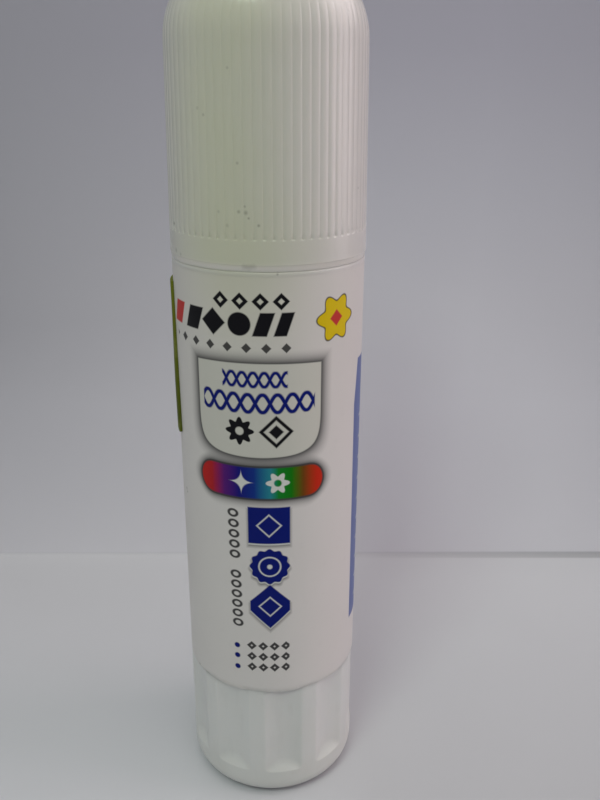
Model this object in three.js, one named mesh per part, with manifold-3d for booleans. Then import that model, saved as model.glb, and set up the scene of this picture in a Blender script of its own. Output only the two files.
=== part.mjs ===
// Twist-up glue stick, standing on its knob with the cap on.
// Millimetres, +Z up, origin at the middle of the knob's underside, front of the stick towards -Y.

import * as THREE from 'three';
import { mergeVertices } from 'three/addons/utils/BufferGeometryUtils.js';
import Module from 'manifold-3d';

const wasm = await Module();
wasm.setup();

// Lengths along the axis

const KNOB_HEIGHT = 19.5;
const BODY_LENGTH = 60.1;
const NECK_HEIGHT = 12.1;
const CAP_LENGTH = 34.9;
const KNOB_FLOOR = 2.2;
const BARREL_FLOOR = 1.5;
const BODY_LIP = 0.6;
const SPIGOT_ABOVE_KNOB_FLOOR = 5.6;
const SPINDLE_BELOW_MOUTH = 4.6;
const GUIDE_RIB_BELOW_MOUTH = 4.2;
const STICKER_HEIGHT = 20.4;
const STICKER_BELOW_SHOULDER = 2.0;

// Radii and walls

const BORE_RADIUS = 10.4;
const BARREL_WALL = 2.1;
const NECK_WALL = 0.95;
const CAP_WALL = 1.0;
const CAP_DOME_WALL = 1.3;
const CAP_DRAFT = 0.4;
const CAP_TOP_FLAT_RADIUS = 2.6;
const KNOB_WALL = 1.8;
const KNOB_TOE_RADIUS = 3.1;
const SPIGOT_WALL = 1.2;
const LABEL_THICKNESS = 0.2;
const STICKER_THICKNESS = 0.22;

// Clearances

const KNOB_GAP = 0.3;
const CAP_SEAT_GAP = 0.2;
const CAP_CLEARANCE = 0.3;
const RUNNING_CLEARANCE = 0.3;
const THREAD_CLEARANCE = 0.35;
const LABEL_GAP = 0.1;
const STICKER_GAP = 0.2;
const GLUE_GAP = 0.2;

// Reeding round the cap

const REED_COUNT = 70;
const REED_DEPTH = 0.33;
const REED_CREST_ROUND = 0.07;
const REED_CREST_SHARE = 0.56;
const REED_START = 3.6;
const REED_LEDGE = 0.25;
const REED_RUN_OUT = 0.5;

// Flutes round the knob, cut by a large round cutter and closed at the bottom by a sloping ledge

const FLUTE_COUNT = 10;
const FLUTE_DEPTH = 0.63;
const FLUTE_CUTTER_RADIUS = 11.25;
const FLUTE_LEDGE_LOW = 4.9;
const FLUTE_LEDGE_RISE = 1.1;
const FLUTE_PHASE = THREE.MathUtils.degToRad(-82.8);

// Lead screw and nut

const THREAD_RADIUS = 3.2;
const THREAD_DEPTH = 0.75;
const THREAD_PITCH = 4.0;
const THREAD_CREST = 1.0;
const THREAD_FLANK = 0.5;
const COLLAR_RADIUS = 5.2;
const COLLAR_THICKNESS = 1.8;
const DRIVE_RADIUS = 2.9;
const SOCKET_BOSS_WALL = 1.7;
const SOCKET_BOSS_HEIGHT = 11.3;
const BEARING_BOSS_WALL = 1.5;

// Carrier and glue

const CARRIER_FLOOR = 1.5;
const CARRIER_RIM_HEIGHT = 5.5;
const CARRIER_RIM_WALL = 1.2;
const NUT_LENGTH = 8.0;
const NUT_WALL = 1.7;
const GLUE_ABOVE_CARRIER = 18.7;
const GLUE_EDGE_ROUND = 1.6;
const GLUE_CROWN = 0.7;

// Small forms

const GUIDE_RIB_COUNT = 4;
const GUIDE_RIB_WIDTH = 1.2;
const GUIDE_RIB_HEIGHT = 0.7;
const NECK_BEAD_HEIGHT = 0.15;
const NECK_BEAD_WIDTH = 1.2;
const NECK_BEAD_ABOVE_SHOULDER = 5.0;
const SNAP_BEAD_HEIGHT = 0.55;
const SNAP_BEAD_WIDTH = 1.2;
const SNAP_BEAD_ABOVE_END = 2.0;
const STOP_FIN_COUNT = 6;
const STOP_FIN_THICKNESS = 0.9;
const STOP_FIN_HEIGHT = 0.7;
const STOP_FIN_LENGTH = 11.0;
const EDGE_CHAMFER = 0.2;
const STICKER_FROM = THREE.MathUtils.degToRad(-90 - 80);
const STICKER_TURN = THREE.MathUtils.degToRad(110);

// How finely round things are faceted

const TURNED_SEGMENTS = 48;
const SMALL_SEGMENTS = 24;
const CAP_INSIDE_SEGMENTS = 35;
const THREAD_COLUMNS = 12;
const FLUTE_STEPS = 6;
const OVERLAP = 0.4;

// Heights above the table that follow from the sizes above

const bodyLow = KNOB_HEIGHT + KNOB_GAP;
const shoulder = bodyLow + BODY_LENGTH;
const capLow = shoulder + CAP_SEAT_GAP;
const capTop = capLow + CAP_LENGTH;
const mouth = shoulder + NECK_HEIGHT;
const floorLow = bodyLow + BODY_LIP;
const floorTop = floorLow + BARREL_FLOOR;
const socketTop = KNOB_FLOOR + SOCKET_BOSS_HEIGHT;
const collarLow = socketTop + RUNNING_CLEARANCE;
const collarTop = collarLow + COLLAR_THICKNESS;
const spigotLow = KNOB_FLOOR + SPIGOT_ABOVE_KNOB_FLOOR;
const snapHeight = spigotLow + SNAP_BEAD_ABOVE_END;
const spindleTop = mouth - SPINDLE_BELOW_MOUTH;
const carrierLow = floorTop + RUNNING_CLEARANCE;
const rimTop = carrierLow + CARRIER_FLOOR + CARRIER_RIM_HEIGHT;
const nutTop = carrierLow + NUT_LENGTH;
const neckBead = shoulder + NECK_BEAD_ABOVE_SHOULDER;

// Radii that follow from the sizes above

const barrelRadius = BORE_RADIUS + BARREL_WALL;
const neckRadius = BORE_RADIUS + NECK_WALL;
const skirtBore = neckRadius + CAP_CLEARANCE;
const capRadius = skirtBore + CAP_WALL;
const capShoulderRadius = capRadius - CAP_DRAFT;
const domeRadius = capShoulderRadius - CAP_TOP_FLAT_RADIUS;
const domeHeight = capTop - domeRadius;
const knobRadius = barrelRadius;
const knobBore = knobRadius - KNOB_WALL;
const spigotRadius = knobBore - RUNNING_CLEARANCE;
const socketBossRadius = DRIVE_RADIUS + SOCKET_BOSS_WALL;
const journalHole = THREAD_RADIUS + RUNNING_CLEARANCE;
const carrierRadius = BORE_RADIUS - RUNNING_CLEARANCE;
const notchRadius = BORE_RADIUS - GUIDE_RIB_HEIGHT - RUNNING_CLEARANCE;
const cupRadius = carrierRadius - CARRIER_RIM_WALL;
const nutRadius = THREAD_RADIUS + THREAD_CLEARANCE + NUT_WALL;

// Mesh and solid helpers

/** Drops what the joins don't need, merges shared corners and gives the solid back. */
function toSolid(geometry) {
  const bare = geometry.clone();
  bare.deleteAttribute('normal');
  bare.deleteAttribute('uv');
  const merged = mergeVertices(bare, 1e-4);
  const index = Array.from(merged.index.array);
  const kept = [];
  for (let i = 0; i < index.length; i += 3) {
    const [a, b, c] = index.slice(i, i + 3);
    if (a !== b && b !== c && c !== a) kept.push(a, b, c);
  }
  return new wasm.Manifold(new wasm.Mesh({
    numProp: 3,
    vertProperties: new Float32Array(merged.attributes.position.array),
    triVerts: new Uint32Array(kept),
  }));
}

/** Turns a solid back into a geometry with flat faces. */
function toGeometry(solid) {
  const mesh = solid.getMesh();
  const geometry = new THREE.BufferGeometry();
  geometry.setAttribute('position', new THREE.BufferAttribute(new Float32Array(mesh.vertProperties), 3));
  geometry.setIndex(new THREE.BufferAttribute(new Uint32Array(mesh.triVerts), 1));
  geometry.computeVertexNormals();
  return geometry;
}

/** Revolves [radius, height] points about Z: up the outside, down the inside. */
function turned(profile, segments = TURNED_SEGMENTS) {
  const points = profile.map(([radius, height]) => new THREE.Vector2(radius, height));
  return new THREE.LatheGeometry(points, segments).rotateX(Math.PI / 2);
}

/** Revolves a profile that closes on itself, for a piece that is open right through. */
function turnedRing(profile, segments) {
  return turned([...profile, profile[0]], segments);
}

/** Points at the given angles; radius and height may each depend on the column. */
function ring(angles, radiusAt, heightAt) {
  return angles.map((angle, column) => {
    const radius = typeof radiusAt === 'function' ? radiusAt(column) : radiusAt;
    const height = typeof heightAt === 'function' ? heightAt(column, radius) : heightAt;
    return [radius * Math.cos(angle), radius * Math.sin(angle), height];
  });
}

/** The single point where a skin closes on the axis. */
function pole(height) {
  return [[0, 0, height]];
}

/** Joins two rings whose counts are equal or multiples of each other. */
function stitch(faces, low, lowCount, high, highCount) {
  const steps = Math.max(lowCount, highCount);
  for (let i = 0; i < steps; i += 1) {
    const a = low + Math.floor((i * lowCount) / steps);
    const b = low + (Math.floor(((i + 1) * lowCount) / steps) % lowCount);
    const c = high + (Math.floor(((i + 1) * highCount) / steps) % highCount);
    const d = high + Math.floor((i * highCount) / steps);
    if (a !== b) faces.push(a, b, c);
    if (c !== d) faces.push(a, c, d);
  }
}

/** A closed skin through a list of rings that starts and ends at a pole. */
function skin(rings) {
  const faces = [];
  const starts = [];
  let total = 0;
  for (const points of rings) {
    starts.push(total);
    total += points.length;
  }
  for (let i = 0; i + 1 < rings.length; i += 1) {
    stitch(faces, starts[i], rings[i].length, starts[i + 1], rings[i + 1].length);
  }
  const geometry = new THREE.BufferGeometry();
  geometry.setAttribute('position', new THREE.Float32BufferAttribute(rings.flat(2), 3));
  geometry.setIndex(faces);
  return geometry;
}

/** Evenly spaced angles round the axis. */
function evenAngles(count, phase = 0) {
  return Array.from({ length: count }, (_, i) => phase + (2 * Math.PI * i) / count);
}

/** Points along a quarter turn of an arc, as [radius, height], from one angle to another. */
function arc(centreRadius, centreHeight, size, from, to, steps) {
  return Array.from({ length: steps + 1 }, (_, i) => {
    const angle = from + ((to - from) * i) / steps;
    return [centreRadius + size * Math.cos(angle), centreHeight + size * Math.sin(angle)];
  });
}

/** A flat fin: an outline of [radius, height] points, given a thickness and turned about Z. */
function fin(outline, thickness, angle) {
  const shape = new THREE.Shape(outline.map(([radius, height]) => new THREE.Vector2(radius, height)));
  const geometry = new THREE.ExtrudeGeometry(shape, { depth: thickness, bevelEnabled: false });
  geometry.translate(0, 0, -thickness / 2);
  geometry.rotateX(Math.PI / 2);
  geometry.rotateZ(angle);
  return geometry;
}

/** A screw thread as a closed rod, left-handed, cut square at both ends. */
function threadedRod(clearance, low, high) {
  const root = THREAD_RADIUS - THREAD_DEPTH + clearance;
  const crest = THREAD_RADIUS + clearance;
  const side = clearance > 0 ? RUNNING_CLEARANCE : 0;
  const section = [
    [-side, root],
    [THREAD_FLANK - side, crest],
    [THREAD_FLANK + THREAD_CREST + side, crest],
    [2 * THREAD_FLANK + THREAD_CREST + side, root],
  ];
  const perPitch = section.length;
  const first = Math.floor((low - bodyLow) / THREAD_PITCH) - 1;
  const last = Math.ceil((high - bodyLow) / THREAD_PITCH) + 3;
  const rows = (last - first) * perPitch;
  const points = [];
  for (let column = 0; column < THREAD_COLUMNS; column += 1) {
    const angle = (2 * Math.PI * column) / THREAD_COLUMNS;
    const lead = (THREAD_PITCH * column) / THREAD_COLUMNS;
    for (let row = 0; row < rows; row += 1) {
      const [along, radius] = section[row % perPitch];
      const height = bodyLow + (first + Math.floor(row / perPitch)) * THREAD_PITCH + along - lead;
      points.push([radius * Math.cos(angle), radius * Math.sin(angle), height]);
    }
  }
  const at = (column, row) => (column < THREAD_COLUMNS ? column * rows + row : row - perPitch);
  const faces = [];
  for (let column = 0; column < THREAD_COLUMNS; column += 1) {
    const start = column === THREAD_COLUMNS - 1 ? perPitch : 0;
    for (let row = start; row + 1 < rows; row += 1) {
      faces.push(at(column, row), at(column + 1, row), at(column + 1, row + 1));
      faces.push(at(column, row), at(column + 1, row + 1), at(column, row + 1));
    }
  }
  closeRodEnds(points, faces, at, rows, perPitch);
  const rod = new THREE.BufferGeometry();
  rod.setAttribute('position', new THREE.Float32BufferAttribute(points.flat(), 3));
  rod.setIndex(faces);
  const keep = turned([[0, low], [crest + 1, low], [crest + 1, high], [0, high]], SMALL_SEGMENTS);
  return toSolid(rod).intersect(toSolid(keep));
}

/** Closes both stepped ends of a helical skin with fans to the axis. */
function closeRodEnds(points, faces, at, rows, perPitch) {
  const lastColumn = THREAD_COLUMNS - 1;
  const lowRim = Array.from({ length: THREAD_COLUMNS }, (_, column) => at(column, 0));
  for (let row = 1; row <= perPitch; row += 1) lowRim.push(at(lastColumn, row));
  const highRim = Array.from({ length: THREAD_COLUMNS }, (_, column) => at(column, rows - 1));
  for (let row = rows - 1 - perPitch; row < rows - 1; row += 1) highRim.push(at(0, row));
  for (const [rim, turn] of [[lowRim, -1], [highRim, 1]]) {
    const middle = points.length;
    const height = rim.reduce((sum, corner) => sum + points[corner][2], 0) / rim.length;
    points.push([0, 0, height]);
    rim.forEach((corner, i) => {
      const next = rim[(i + 1) % rim.length];
      if (turn > 0) faces.push(middle, corner, next);
      else faces.push(middle, next, corner);
    });
  }
}

/** Boxes that cut the guide-rib notches into the carrier. */
function notches(low, high) {
  const width = GUIDE_RIB_WIDTH + 2 * RUNNING_CLEARANCE;
  const outline = [
    [notchRadius, low],
    [BORE_RADIUS + OVERLAP, low],
    [BORE_RADIUS + OVERLAP, high],
    [notchRadius, high],
  ];
  const cuts = guideAngles().map((angle) => toSolid(fin(outline, width, angle)));
  return wasm.Manifold.union(cuts);
}

/** Where the guide ribs stand round the bore. */
function guideAngles() {
  return evenAngles(GUIDE_RIB_COUNT, Math.PI / GUIDE_RIB_COUNT);
}

// The cap

/** Angles of the cap's fine rings: crest, crest edge, groove, crest edge for each reed. */
function reedAngles() {
  const pitch = (2 * Math.PI) / REED_COUNT;
  const offsets = [0, REED_CREST_SHARE / 2, 0.5, 1 - REED_CREST_SHARE / 2];
  return evenAngles(REED_COUNT).flatMap((angle) => offsets.map((share) => angle + share * pitch));
}

/** How far each column of a fine ring lies under the crests. */
function reedDrop(column) {
  return [0, REED_CREST_ROUND, REED_DEPTH, REED_CREST_ROUND][column % 4];
}

/** Outside rings of the cap, from its lower edge to the pole of the dome. */
function capOutside() {
  const coarse = evenAngles(REED_COUNT);
  const fine = reedAngles();
  const reedLow = capLow + REED_START;
  const ledgeHigh = reedLow + REED_LEDGE;
  const drafted = (height) => capRadius - (CAP_DRAFT * (height - capLow)) / (domeHeight - capLow);
  const grooveRadius = (column) => capShoulderRadius - reedDrop(column);
  const runOutRadius = capShoulderRadius - REED_DEPTH - REED_RUN_OUT / 2;
  const runOutAngle = Math.acos((runOutRadius - CAP_TOP_FLAT_RADIUS) / domeRadius);
  const dome = (angle) => [
    CAP_TOP_FLAT_RADIUS + domeRadius * Math.cos(angle),
    domeHeight + domeRadius * Math.sin(angle),
  ];
  const rings = [
    ring(coarse, capRadius - EDGE_CHAMFER / 2, capLow),
    ring(coarse, capRadius, capLow + EDGE_CHAMFER),
    ring(coarse, drafted(reedLow - EDGE_CHAMFER), reedLow - EDGE_CHAMFER),
    ring(fine, drafted(reedLow), reedLow),
    ring(fine, (column) => drafted(ledgeHigh) - reedDrop(column), ledgeHigh),
    ring(fine, grooveRadius, domeHeight),
  ];
  for (const share of [0.5, 1]) {
    const [radius, height] = dome(runOutAngle * share);
    rings.push(ring(fine, (column) => Math.min(radius, grooveRadius(column) - share * REED_RUN_OUT / 2), height));
  }
  const steps = 5;
  for (let i = 1; i <= steps; i += 1) {
    const [radius, height] = dome(runOutAngle + ((Math.PI / 2 - runOutAngle) * i) / steps);
    rings.push(ring(coarse, radius, height));
  }
  return [...rings, pole(capTop)];
}

/** Inside rings of the cap, from the pole of its ceiling down to the entry of the skirt. */
function capInside() {
  const angles = evenAngles(CAP_INSIDE_SEGMENTS);
  const innerDome = domeRadius - CAP_DOME_WALL;
  const ceiling = arc(CAP_TOP_FLAT_RADIUS, domeHeight, innerDome, Math.PI / 2, 0, 4);
  const stopHeight = mouth + RUNNING_CLEARANCE;
  const beadRoom = skirtBore + NECK_BEAD_HEIGHT;
  const profile = [
    ...ceiling,
    [skirtBore - RUNNING_CLEARANCE, stopHeight],
    [skirtBore, stopHeight],
    [skirtBore, neckBead + NECK_BEAD_WIDTH],
    [beadRoom, neckBead + NECK_BEAD_WIDTH / 2],
    [beadRoom, neckBead - NECK_BEAD_WIDTH / 2],
    [skirtBore, neckBead - NECK_BEAD_WIDTH],
    [skirtBore, capLow + EDGE_CHAMFER],
    [skirtBore + EDGE_CHAMFER, capLow],
  ];
  return [pole(domeHeight + innerDome), ...profile.map(([radius, height]) => ring(angles, radius, height))];
}

/** The reeded cap with its smooth dome and the fins that stop it on the barrel's mouth. */
function cap() {
  const shell = toSolid(skin([...capInside(), ...capOutside()]));
  const low = mouth + RUNNING_CLEARANCE;
  const outline = [
    [skirtBore - RUNNING_CLEARANCE - STOP_FIN_HEIGHT, low],
    [skirtBore + OVERLAP, low],
    [skirtBore + OVERLAP, low + STOP_FIN_LENGTH],
    [skirtBore - RUNNING_CLEARANCE - STOP_FIN_HEIGHT / 2, low + STOP_FIN_LENGTH],
  ];
  const fins = evenAngles(STOP_FIN_COUNT).map((angle) => toSolid(fin(outline, STOP_FIN_THICKNESS, angle)));
  return toGeometry(wasm.Manifold.union([shell, ...fins]));
}

// The barrel and what is stuck to it

/** The barrel: body with a label recess, neck and mouth above, floor and snap spigot below. */
function barrel() {
  const recess = barrelRadius - LABEL_THICKNESS - LABEL_GAP;
  const spigotBore = spigotRadius - SPIGOT_WALL;
  const bearingRadius = journalHole + BEARING_BOSS_WALL;
  const bearingLow = collarTop + RUNNING_CLEARANCE;
  const snapRadius = spigotRadius + SNAP_BEAD_HEIGHT;
  const profile = [
    [spigotBore, spigotLow],
    [spigotRadius - EDGE_CHAMFER, spigotLow],
    [snapRadius, snapHeight - SNAP_BEAD_WIDTH / 4],
    [snapRadius, snapHeight + SNAP_BEAD_WIDTH / 4],
    [spigotRadius, snapHeight + SNAP_BEAD_WIDTH / 2],
    [spigotRadius, bodyLow],
    [barrelRadius - EDGE_CHAMFER, bodyLow],
    [barrelRadius, bodyLow + EDGE_CHAMFER],
    [barrelRadius, bodyLow + BODY_LIP],
    [recess, bodyLow + BODY_LIP],
    [recess, shoulder - BODY_LIP],
    [barrelRadius, shoulder - BODY_LIP],
    [barrelRadius, shoulder - EDGE_CHAMFER],
    [barrelRadius - EDGE_CHAMFER, shoulder],
    [neckRadius, shoulder],
    [neckRadius, neckBead - NECK_BEAD_WIDTH / 2],
    [neckRadius + NECK_BEAD_HEIGHT, neckBead],
    [neckRadius, neckBead + NECK_BEAD_WIDTH / 2],
    [neckRadius, mouth - NECK_WALL / 3],
    [neckRadius - NECK_WALL / 3, mouth],
    [BORE_RADIUS + NECK_WALL / 3, mouth],
    [BORE_RADIUS, mouth - NECK_WALL / 3],
    [BORE_RADIUS, floorTop],
    [journalHole, floorTop],
    [journalHole, bearingLow],
    [bearingRadius, bearingLow],
    [bearingRadius, floorLow],
    [spigotBore, floorLow],
  ];
  const ribTop = mouth - GUIDE_RIB_BELOW_MOUTH;
  const outline = [
    [BORE_RADIUS - GUIDE_RIB_HEIGHT, floorTop - OVERLAP],
    [BORE_RADIUS + OVERLAP, floorTop - OVERLAP],
    [BORE_RADIUS + OVERLAP, ribTop],
    [BORE_RADIUS, ribTop],
    [BORE_RADIUS - GUIDE_RIB_HEIGHT, ribTop - GUIDE_RIB_HEIGHT],
  ];
  const ribs = guideAngles().map((angle) => toSolid(fin(outline, GUIDE_RIB_WIDTH, angle)));
  return toGeometry(wasm.Manifold.union([toSolid(turnedRing(profile)), ...ribs]));
}

/** The printed label: a thin sleeve that lies in the barrel's recess. */
function label() {
  const inner = barrelRadius - LABEL_THICKNESS;
  const low = bodyLow + BODY_LIP + LABEL_GAP;
  const high = shoulder - BODY_LIP - LABEL_GAP;
  return turnedRing([[inner, low], [barrelRadius, low], [barrelRadius, high], [inner, high]]);
}

/** A paper sticker bent round the back of the barrel, a little proud of the label. */
function priceSticker() {
  const inner = barrelRadius + STICKER_GAP;
  const outer = inner + STICKER_THICKNESS;
  const shape = new THREE.Shape();
  shape.absarc(0, 0, outer, STICKER_FROM - STICKER_TURN, STICKER_FROM, false);
  shape.absarc(0, 0, inner, STICKER_FROM, STICKER_FROM - STICKER_TURN, true);
  const settings = { depth: STICKER_HEIGHT, bevelEnabled: false, curveSegments: 12 };
  const geometry = new THREE.ExtrudeGeometry(shape, settings);
  return geometry.translate(0, 0, shoulder - STICKER_BELOW_SHOULDER - STICKER_HEIGHT);
}

// The knob and the lead screw

/** Half the angle that one flute takes at the knob's rim. */
function fluteHalfAngle() {
  const reach = knobRadius - FLUTE_DEPTH + FLUTE_CUTTER_RADIUS;
  const squares = reach ** 2 + knobRadius ** 2 - FLUTE_CUTTER_RADIUS ** 2;
  return Math.acos(squares / (2 * reach * knobRadius));
}

/** Angles round the knob: the steps of each flute, and the middle of each rib. */
function fluteAngles() {
  const half = fluteHalfAngle();
  const offsets = Array.from({ length: FLUTE_STEPS + 1 }, (_, i) => -half + (2 * half * i) / FLUTE_STEPS);
  offsets.push(Math.PI / FLUTE_COUNT);
  return evenAngles(FLUTE_COUNT, FLUTE_PHASE).flatMap((angle) => offsets.map((offset) => angle + offset));
}

/** Radius of the fluted rim at a column of the knob's rings. */
function fluteRadius(column) {
  const step = column % (FLUTE_STEPS + 2);
  if (step > FLUTE_STEPS) return knobRadius;
  const half = fluteHalfAngle();
  const angle = -half + (2 * half * step) / FLUTE_STEPS;
  const reach = knobRadius - FLUTE_DEPTH + FLUTE_CUTTER_RADIUS;
  return reach * Math.cos(angle) - Math.sqrt(FLUTE_CUTTER_RADIUS ** 2 - (reach * Math.sin(angle)) ** 2);
}

/** The twist knob: fluted cup with a rounded toe, a snap groove and the screw's hexagon socket. */
function knob() {
  const angles = fluteAngles();
  const insideAngles = angles.filter((_, column) => column % 2 === 0);
  const snapGroove = knobBore + SNAP_BEAD_HEIGHT;
  const toe = arc(knobRadius - KNOB_TOE_RADIUS, KNOB_TOE_RADIUS, KNOB_TOE_RADIUS, -Math.PI / 2, 0, 5);
  const ledge = (_, radius) => FLUTE_LEDGE_LOW + (FLUTE_LEDGE_RISE * (knobRadius - radius)) / FLUTE_DEPTH;
  const inside = [
    [knobBore + EDGE_CHAMFER, KNOB_HEIGHT],
    [knobBore, KNOB_HEIGHT - EDGE_CHAMFER],
    [knobBore, snapHeight + SNAP_BEAD_WIDTH],
    [snapGroove, snapHeight + SNAP_BEAD_WIDTH / 2],
    [snapGroove, snapHeight - SNAP_BEAD_WIDTH / 2],
    [knobBore, snapHeight - SNAP_BEAD_WIDTH],
    [knobBore, KNOB_FLOOR],
    [socketBossRadius, KNOB_FLOOR],
    [socketBossRadius, socketTop],
  ];
  const rings = [
    pole(0),
    ...toe.map(([radius, height]) => ring(angles, radius, height)),
    ring(angles, knobRadius, FLUTE_LEDGE_LOW - EDGE_CHAMFER),
    ring(angles, fluteRadius, ledge),
    ring(angles, fluteRadius, KNOB_HEIGHT - EDGE_CHAMFER),
    ring(angles, (column) => fluteRadius(column) - EDGE_CHAMFER, KNOB_HEIGHT),
    ...inside.map(([radius, height]) => ring(insideAngles, radius, height)),
    pole(socketTop),
  ];
  const socketRadius = DRIVE_RADIUS + RUNNING_CLEARANCE;
  const socket = turned([[0, KNOB_FLOOR], [socketRadius, KNOB_FLOOR], [socketRadius, socketTop + 1],
    [0, socketTop + 1]], 6);
  return toGeometry(toSolid(skin(rings)).subtract(toSolid(socket)));
}

/** The lead screw: hexagon shank, thrust collar, plain journal and a coarse left-handed thread. */
function spindle() {
  const shankLow = KNOB_FLOOR + RUNNING_CLEARANCE;
  const threadLow = carrierLow - RUNNING_CLEARANCE;
  const root = THREAD_RADIUS - THREAD_DEPTH;
  const shank = turned([[0, shankLow], [DRIVE_RADIUS - EDGE_CHAMFER, shankLow],
    [DRIVE_RADIUS, shankLow + EDGE_CHAMFER], [DRIVE_RADIUS, collarLow + OVERLAP],
    [0, collarLow + OVERLAP]], 6);
  const collar = turned([[0, collarLow], [COLLAR_RADIUS, collarLow], [COLLAR_RADIUS, collarTop],
    [THREAD_RADIUS, collarTop], [THREAD_RADIUS, threadLow], [root, threadLow + OVERLAP],
    [0, threadLow + OVERLAP]], SMALL_SEGMENTS);
  const tip = turned([[0, spindleTop - OVERLAP], [root, spindleTop - OVERLAP],
    [root - EDGE_CHAMFER, spindleTop], [0, spindleTop]], SMALL_SEGMENTS);
  const thread = threadedRod(0, threadLow, spindleTop - OVERLAP / 2);
  return toGeometry(wasm.Manifold.union([toSolid(shank), toSolid(collar), thread, toSolid(tip)]));
}

// The carrier and the glue

/** The carrier: a cup that holds the glue, with the screw's nut in its middle. */
function carrier() {
  const cupFloor = carrierLow + CARRIER_FLOOR;
  const cup = turned([
    [0, carrierLow],
    [carrierRadius, carrierLow],
    [carrierRadius, rimTop],
    [cupRadius, rimTop],
    [cupRadius, cupFloor],
    [nutRadius, cupFloor],
    [nutRadius, nutTop],
    [0, nutTop],
  ]);
  const bore = threadedRod(THREAD_CLEARANCE, carrierLow - 1, nutTop + 1);
  const cuts = wasm.Manifold.union([bore, notches(carrierLow - 1, rimTop + 1)]);
  return toGeometry(toSolid(cup).subtract(cuts));
}

/** The stick of glue, part used: it stands in the cup and the screw passes through its bore. */
function glue() {
  const low = carrierLow + CARRIER_FLOOR + GLUE_GAP;
  const top = rimTop + GLUE_ABOVE_CARRIER;
  const hubRoom = nutRadius + GLUE_GAP;
  const bore = THREAD_RADIUS + THREAD_CLEARANCE;
  const radius = cupRadius - GLUE_GAP;
  const edge = top - GLUE_CROWN;
  return turnedRing([
    [hubRoom, low],
    [radius, low],
    ...arc(radius - GLUE_EDGE_ROUND, edge - GLUE_EDGE_ROUND, GLUE_EDGE_ROUND, 0, Math.PI / 2, 4),
    [bore, top],
    [bore, nutTop + GLUE_GAP],
    [hubRoom, nutTop + GLUE_GAP],
  ]);
}

// The scene graph

/** A named piece with a material of its own. */
function piece(name, geometry, colour, roughness, metalness = 0) {
  const material = new THREE.MeshStandardMaterial({ color: new THREE.Color(...colour), roughness, metalness });
  const mesh = new THREE.Mesh(geometry, material);
  mesh.name = name;
  return mesh;
}

const WHITE_PLASTIC = [0.86, 0.87, 0.85];
const NATURAL_PLASTIC = [0.8, 0.8, 0.76];

const stick = new THREE.Group();
stick.add(
  piece('barrel', barrel(), WHITE_PLASTIC, 0.35),
  piece('label', label(), [0.82, 0.84, 0.84], 0.45),
  piece('price_sticker', priceSticker(), [0.32, 0.42, 0.12], 0.7),
  piece('cap', cap(), WHITE_PLASTIC, 0.3),
);

const turning = new THREE.Group();
turning.add(
  piece('knob', knob(), WHITE_PLASTIC, 0.35),
  piece('spindle', spindle(), NATURAL_PLASTIC, 0.4),
);

const rising = new THREE.Group();
rising.add(
  piece('carrier', carrier(), NATURAL_PLASTIC, 0.4),
  piece('glue', glue(), [0.85, 0.84, 0.78], 0.55),
);

stick.add(turning, rising);

export default stick;
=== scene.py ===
"""A twist-up glue stick on a pale paper sweep: the looks of every piece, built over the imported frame.

Sizes are in millimetres and turned into metres where a mesh is written. Angles round the stick are counted
from its front line (towards -Y) and grow to the right (towards +X).
"""

import logging
import math
from dataclasses import dataclass, field
from enum import Enum
from typing import Optional, Sequence, Union

import bpy
import numpy as np
from mathutils import Euler, Matrix


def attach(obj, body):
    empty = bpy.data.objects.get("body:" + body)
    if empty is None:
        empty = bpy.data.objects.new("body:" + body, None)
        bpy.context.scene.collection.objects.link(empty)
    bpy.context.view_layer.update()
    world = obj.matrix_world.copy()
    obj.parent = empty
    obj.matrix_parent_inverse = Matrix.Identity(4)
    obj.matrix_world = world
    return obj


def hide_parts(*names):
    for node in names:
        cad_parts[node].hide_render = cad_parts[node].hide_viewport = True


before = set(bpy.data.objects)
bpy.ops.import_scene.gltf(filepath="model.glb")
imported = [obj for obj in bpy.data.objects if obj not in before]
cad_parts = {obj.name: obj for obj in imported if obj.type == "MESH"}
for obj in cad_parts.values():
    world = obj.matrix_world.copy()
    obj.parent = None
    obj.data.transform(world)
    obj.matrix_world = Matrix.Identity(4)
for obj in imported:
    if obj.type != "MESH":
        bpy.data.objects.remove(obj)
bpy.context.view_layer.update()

MM = 0.001
TURN = 2 * math.pi
Colour = tuple[float, float, float]
Profile = list[tuple[float, float]]
Number = Union[float, "Wire"]

logger = logging.getLogger("glue_stick")


# Shader maths


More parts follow.
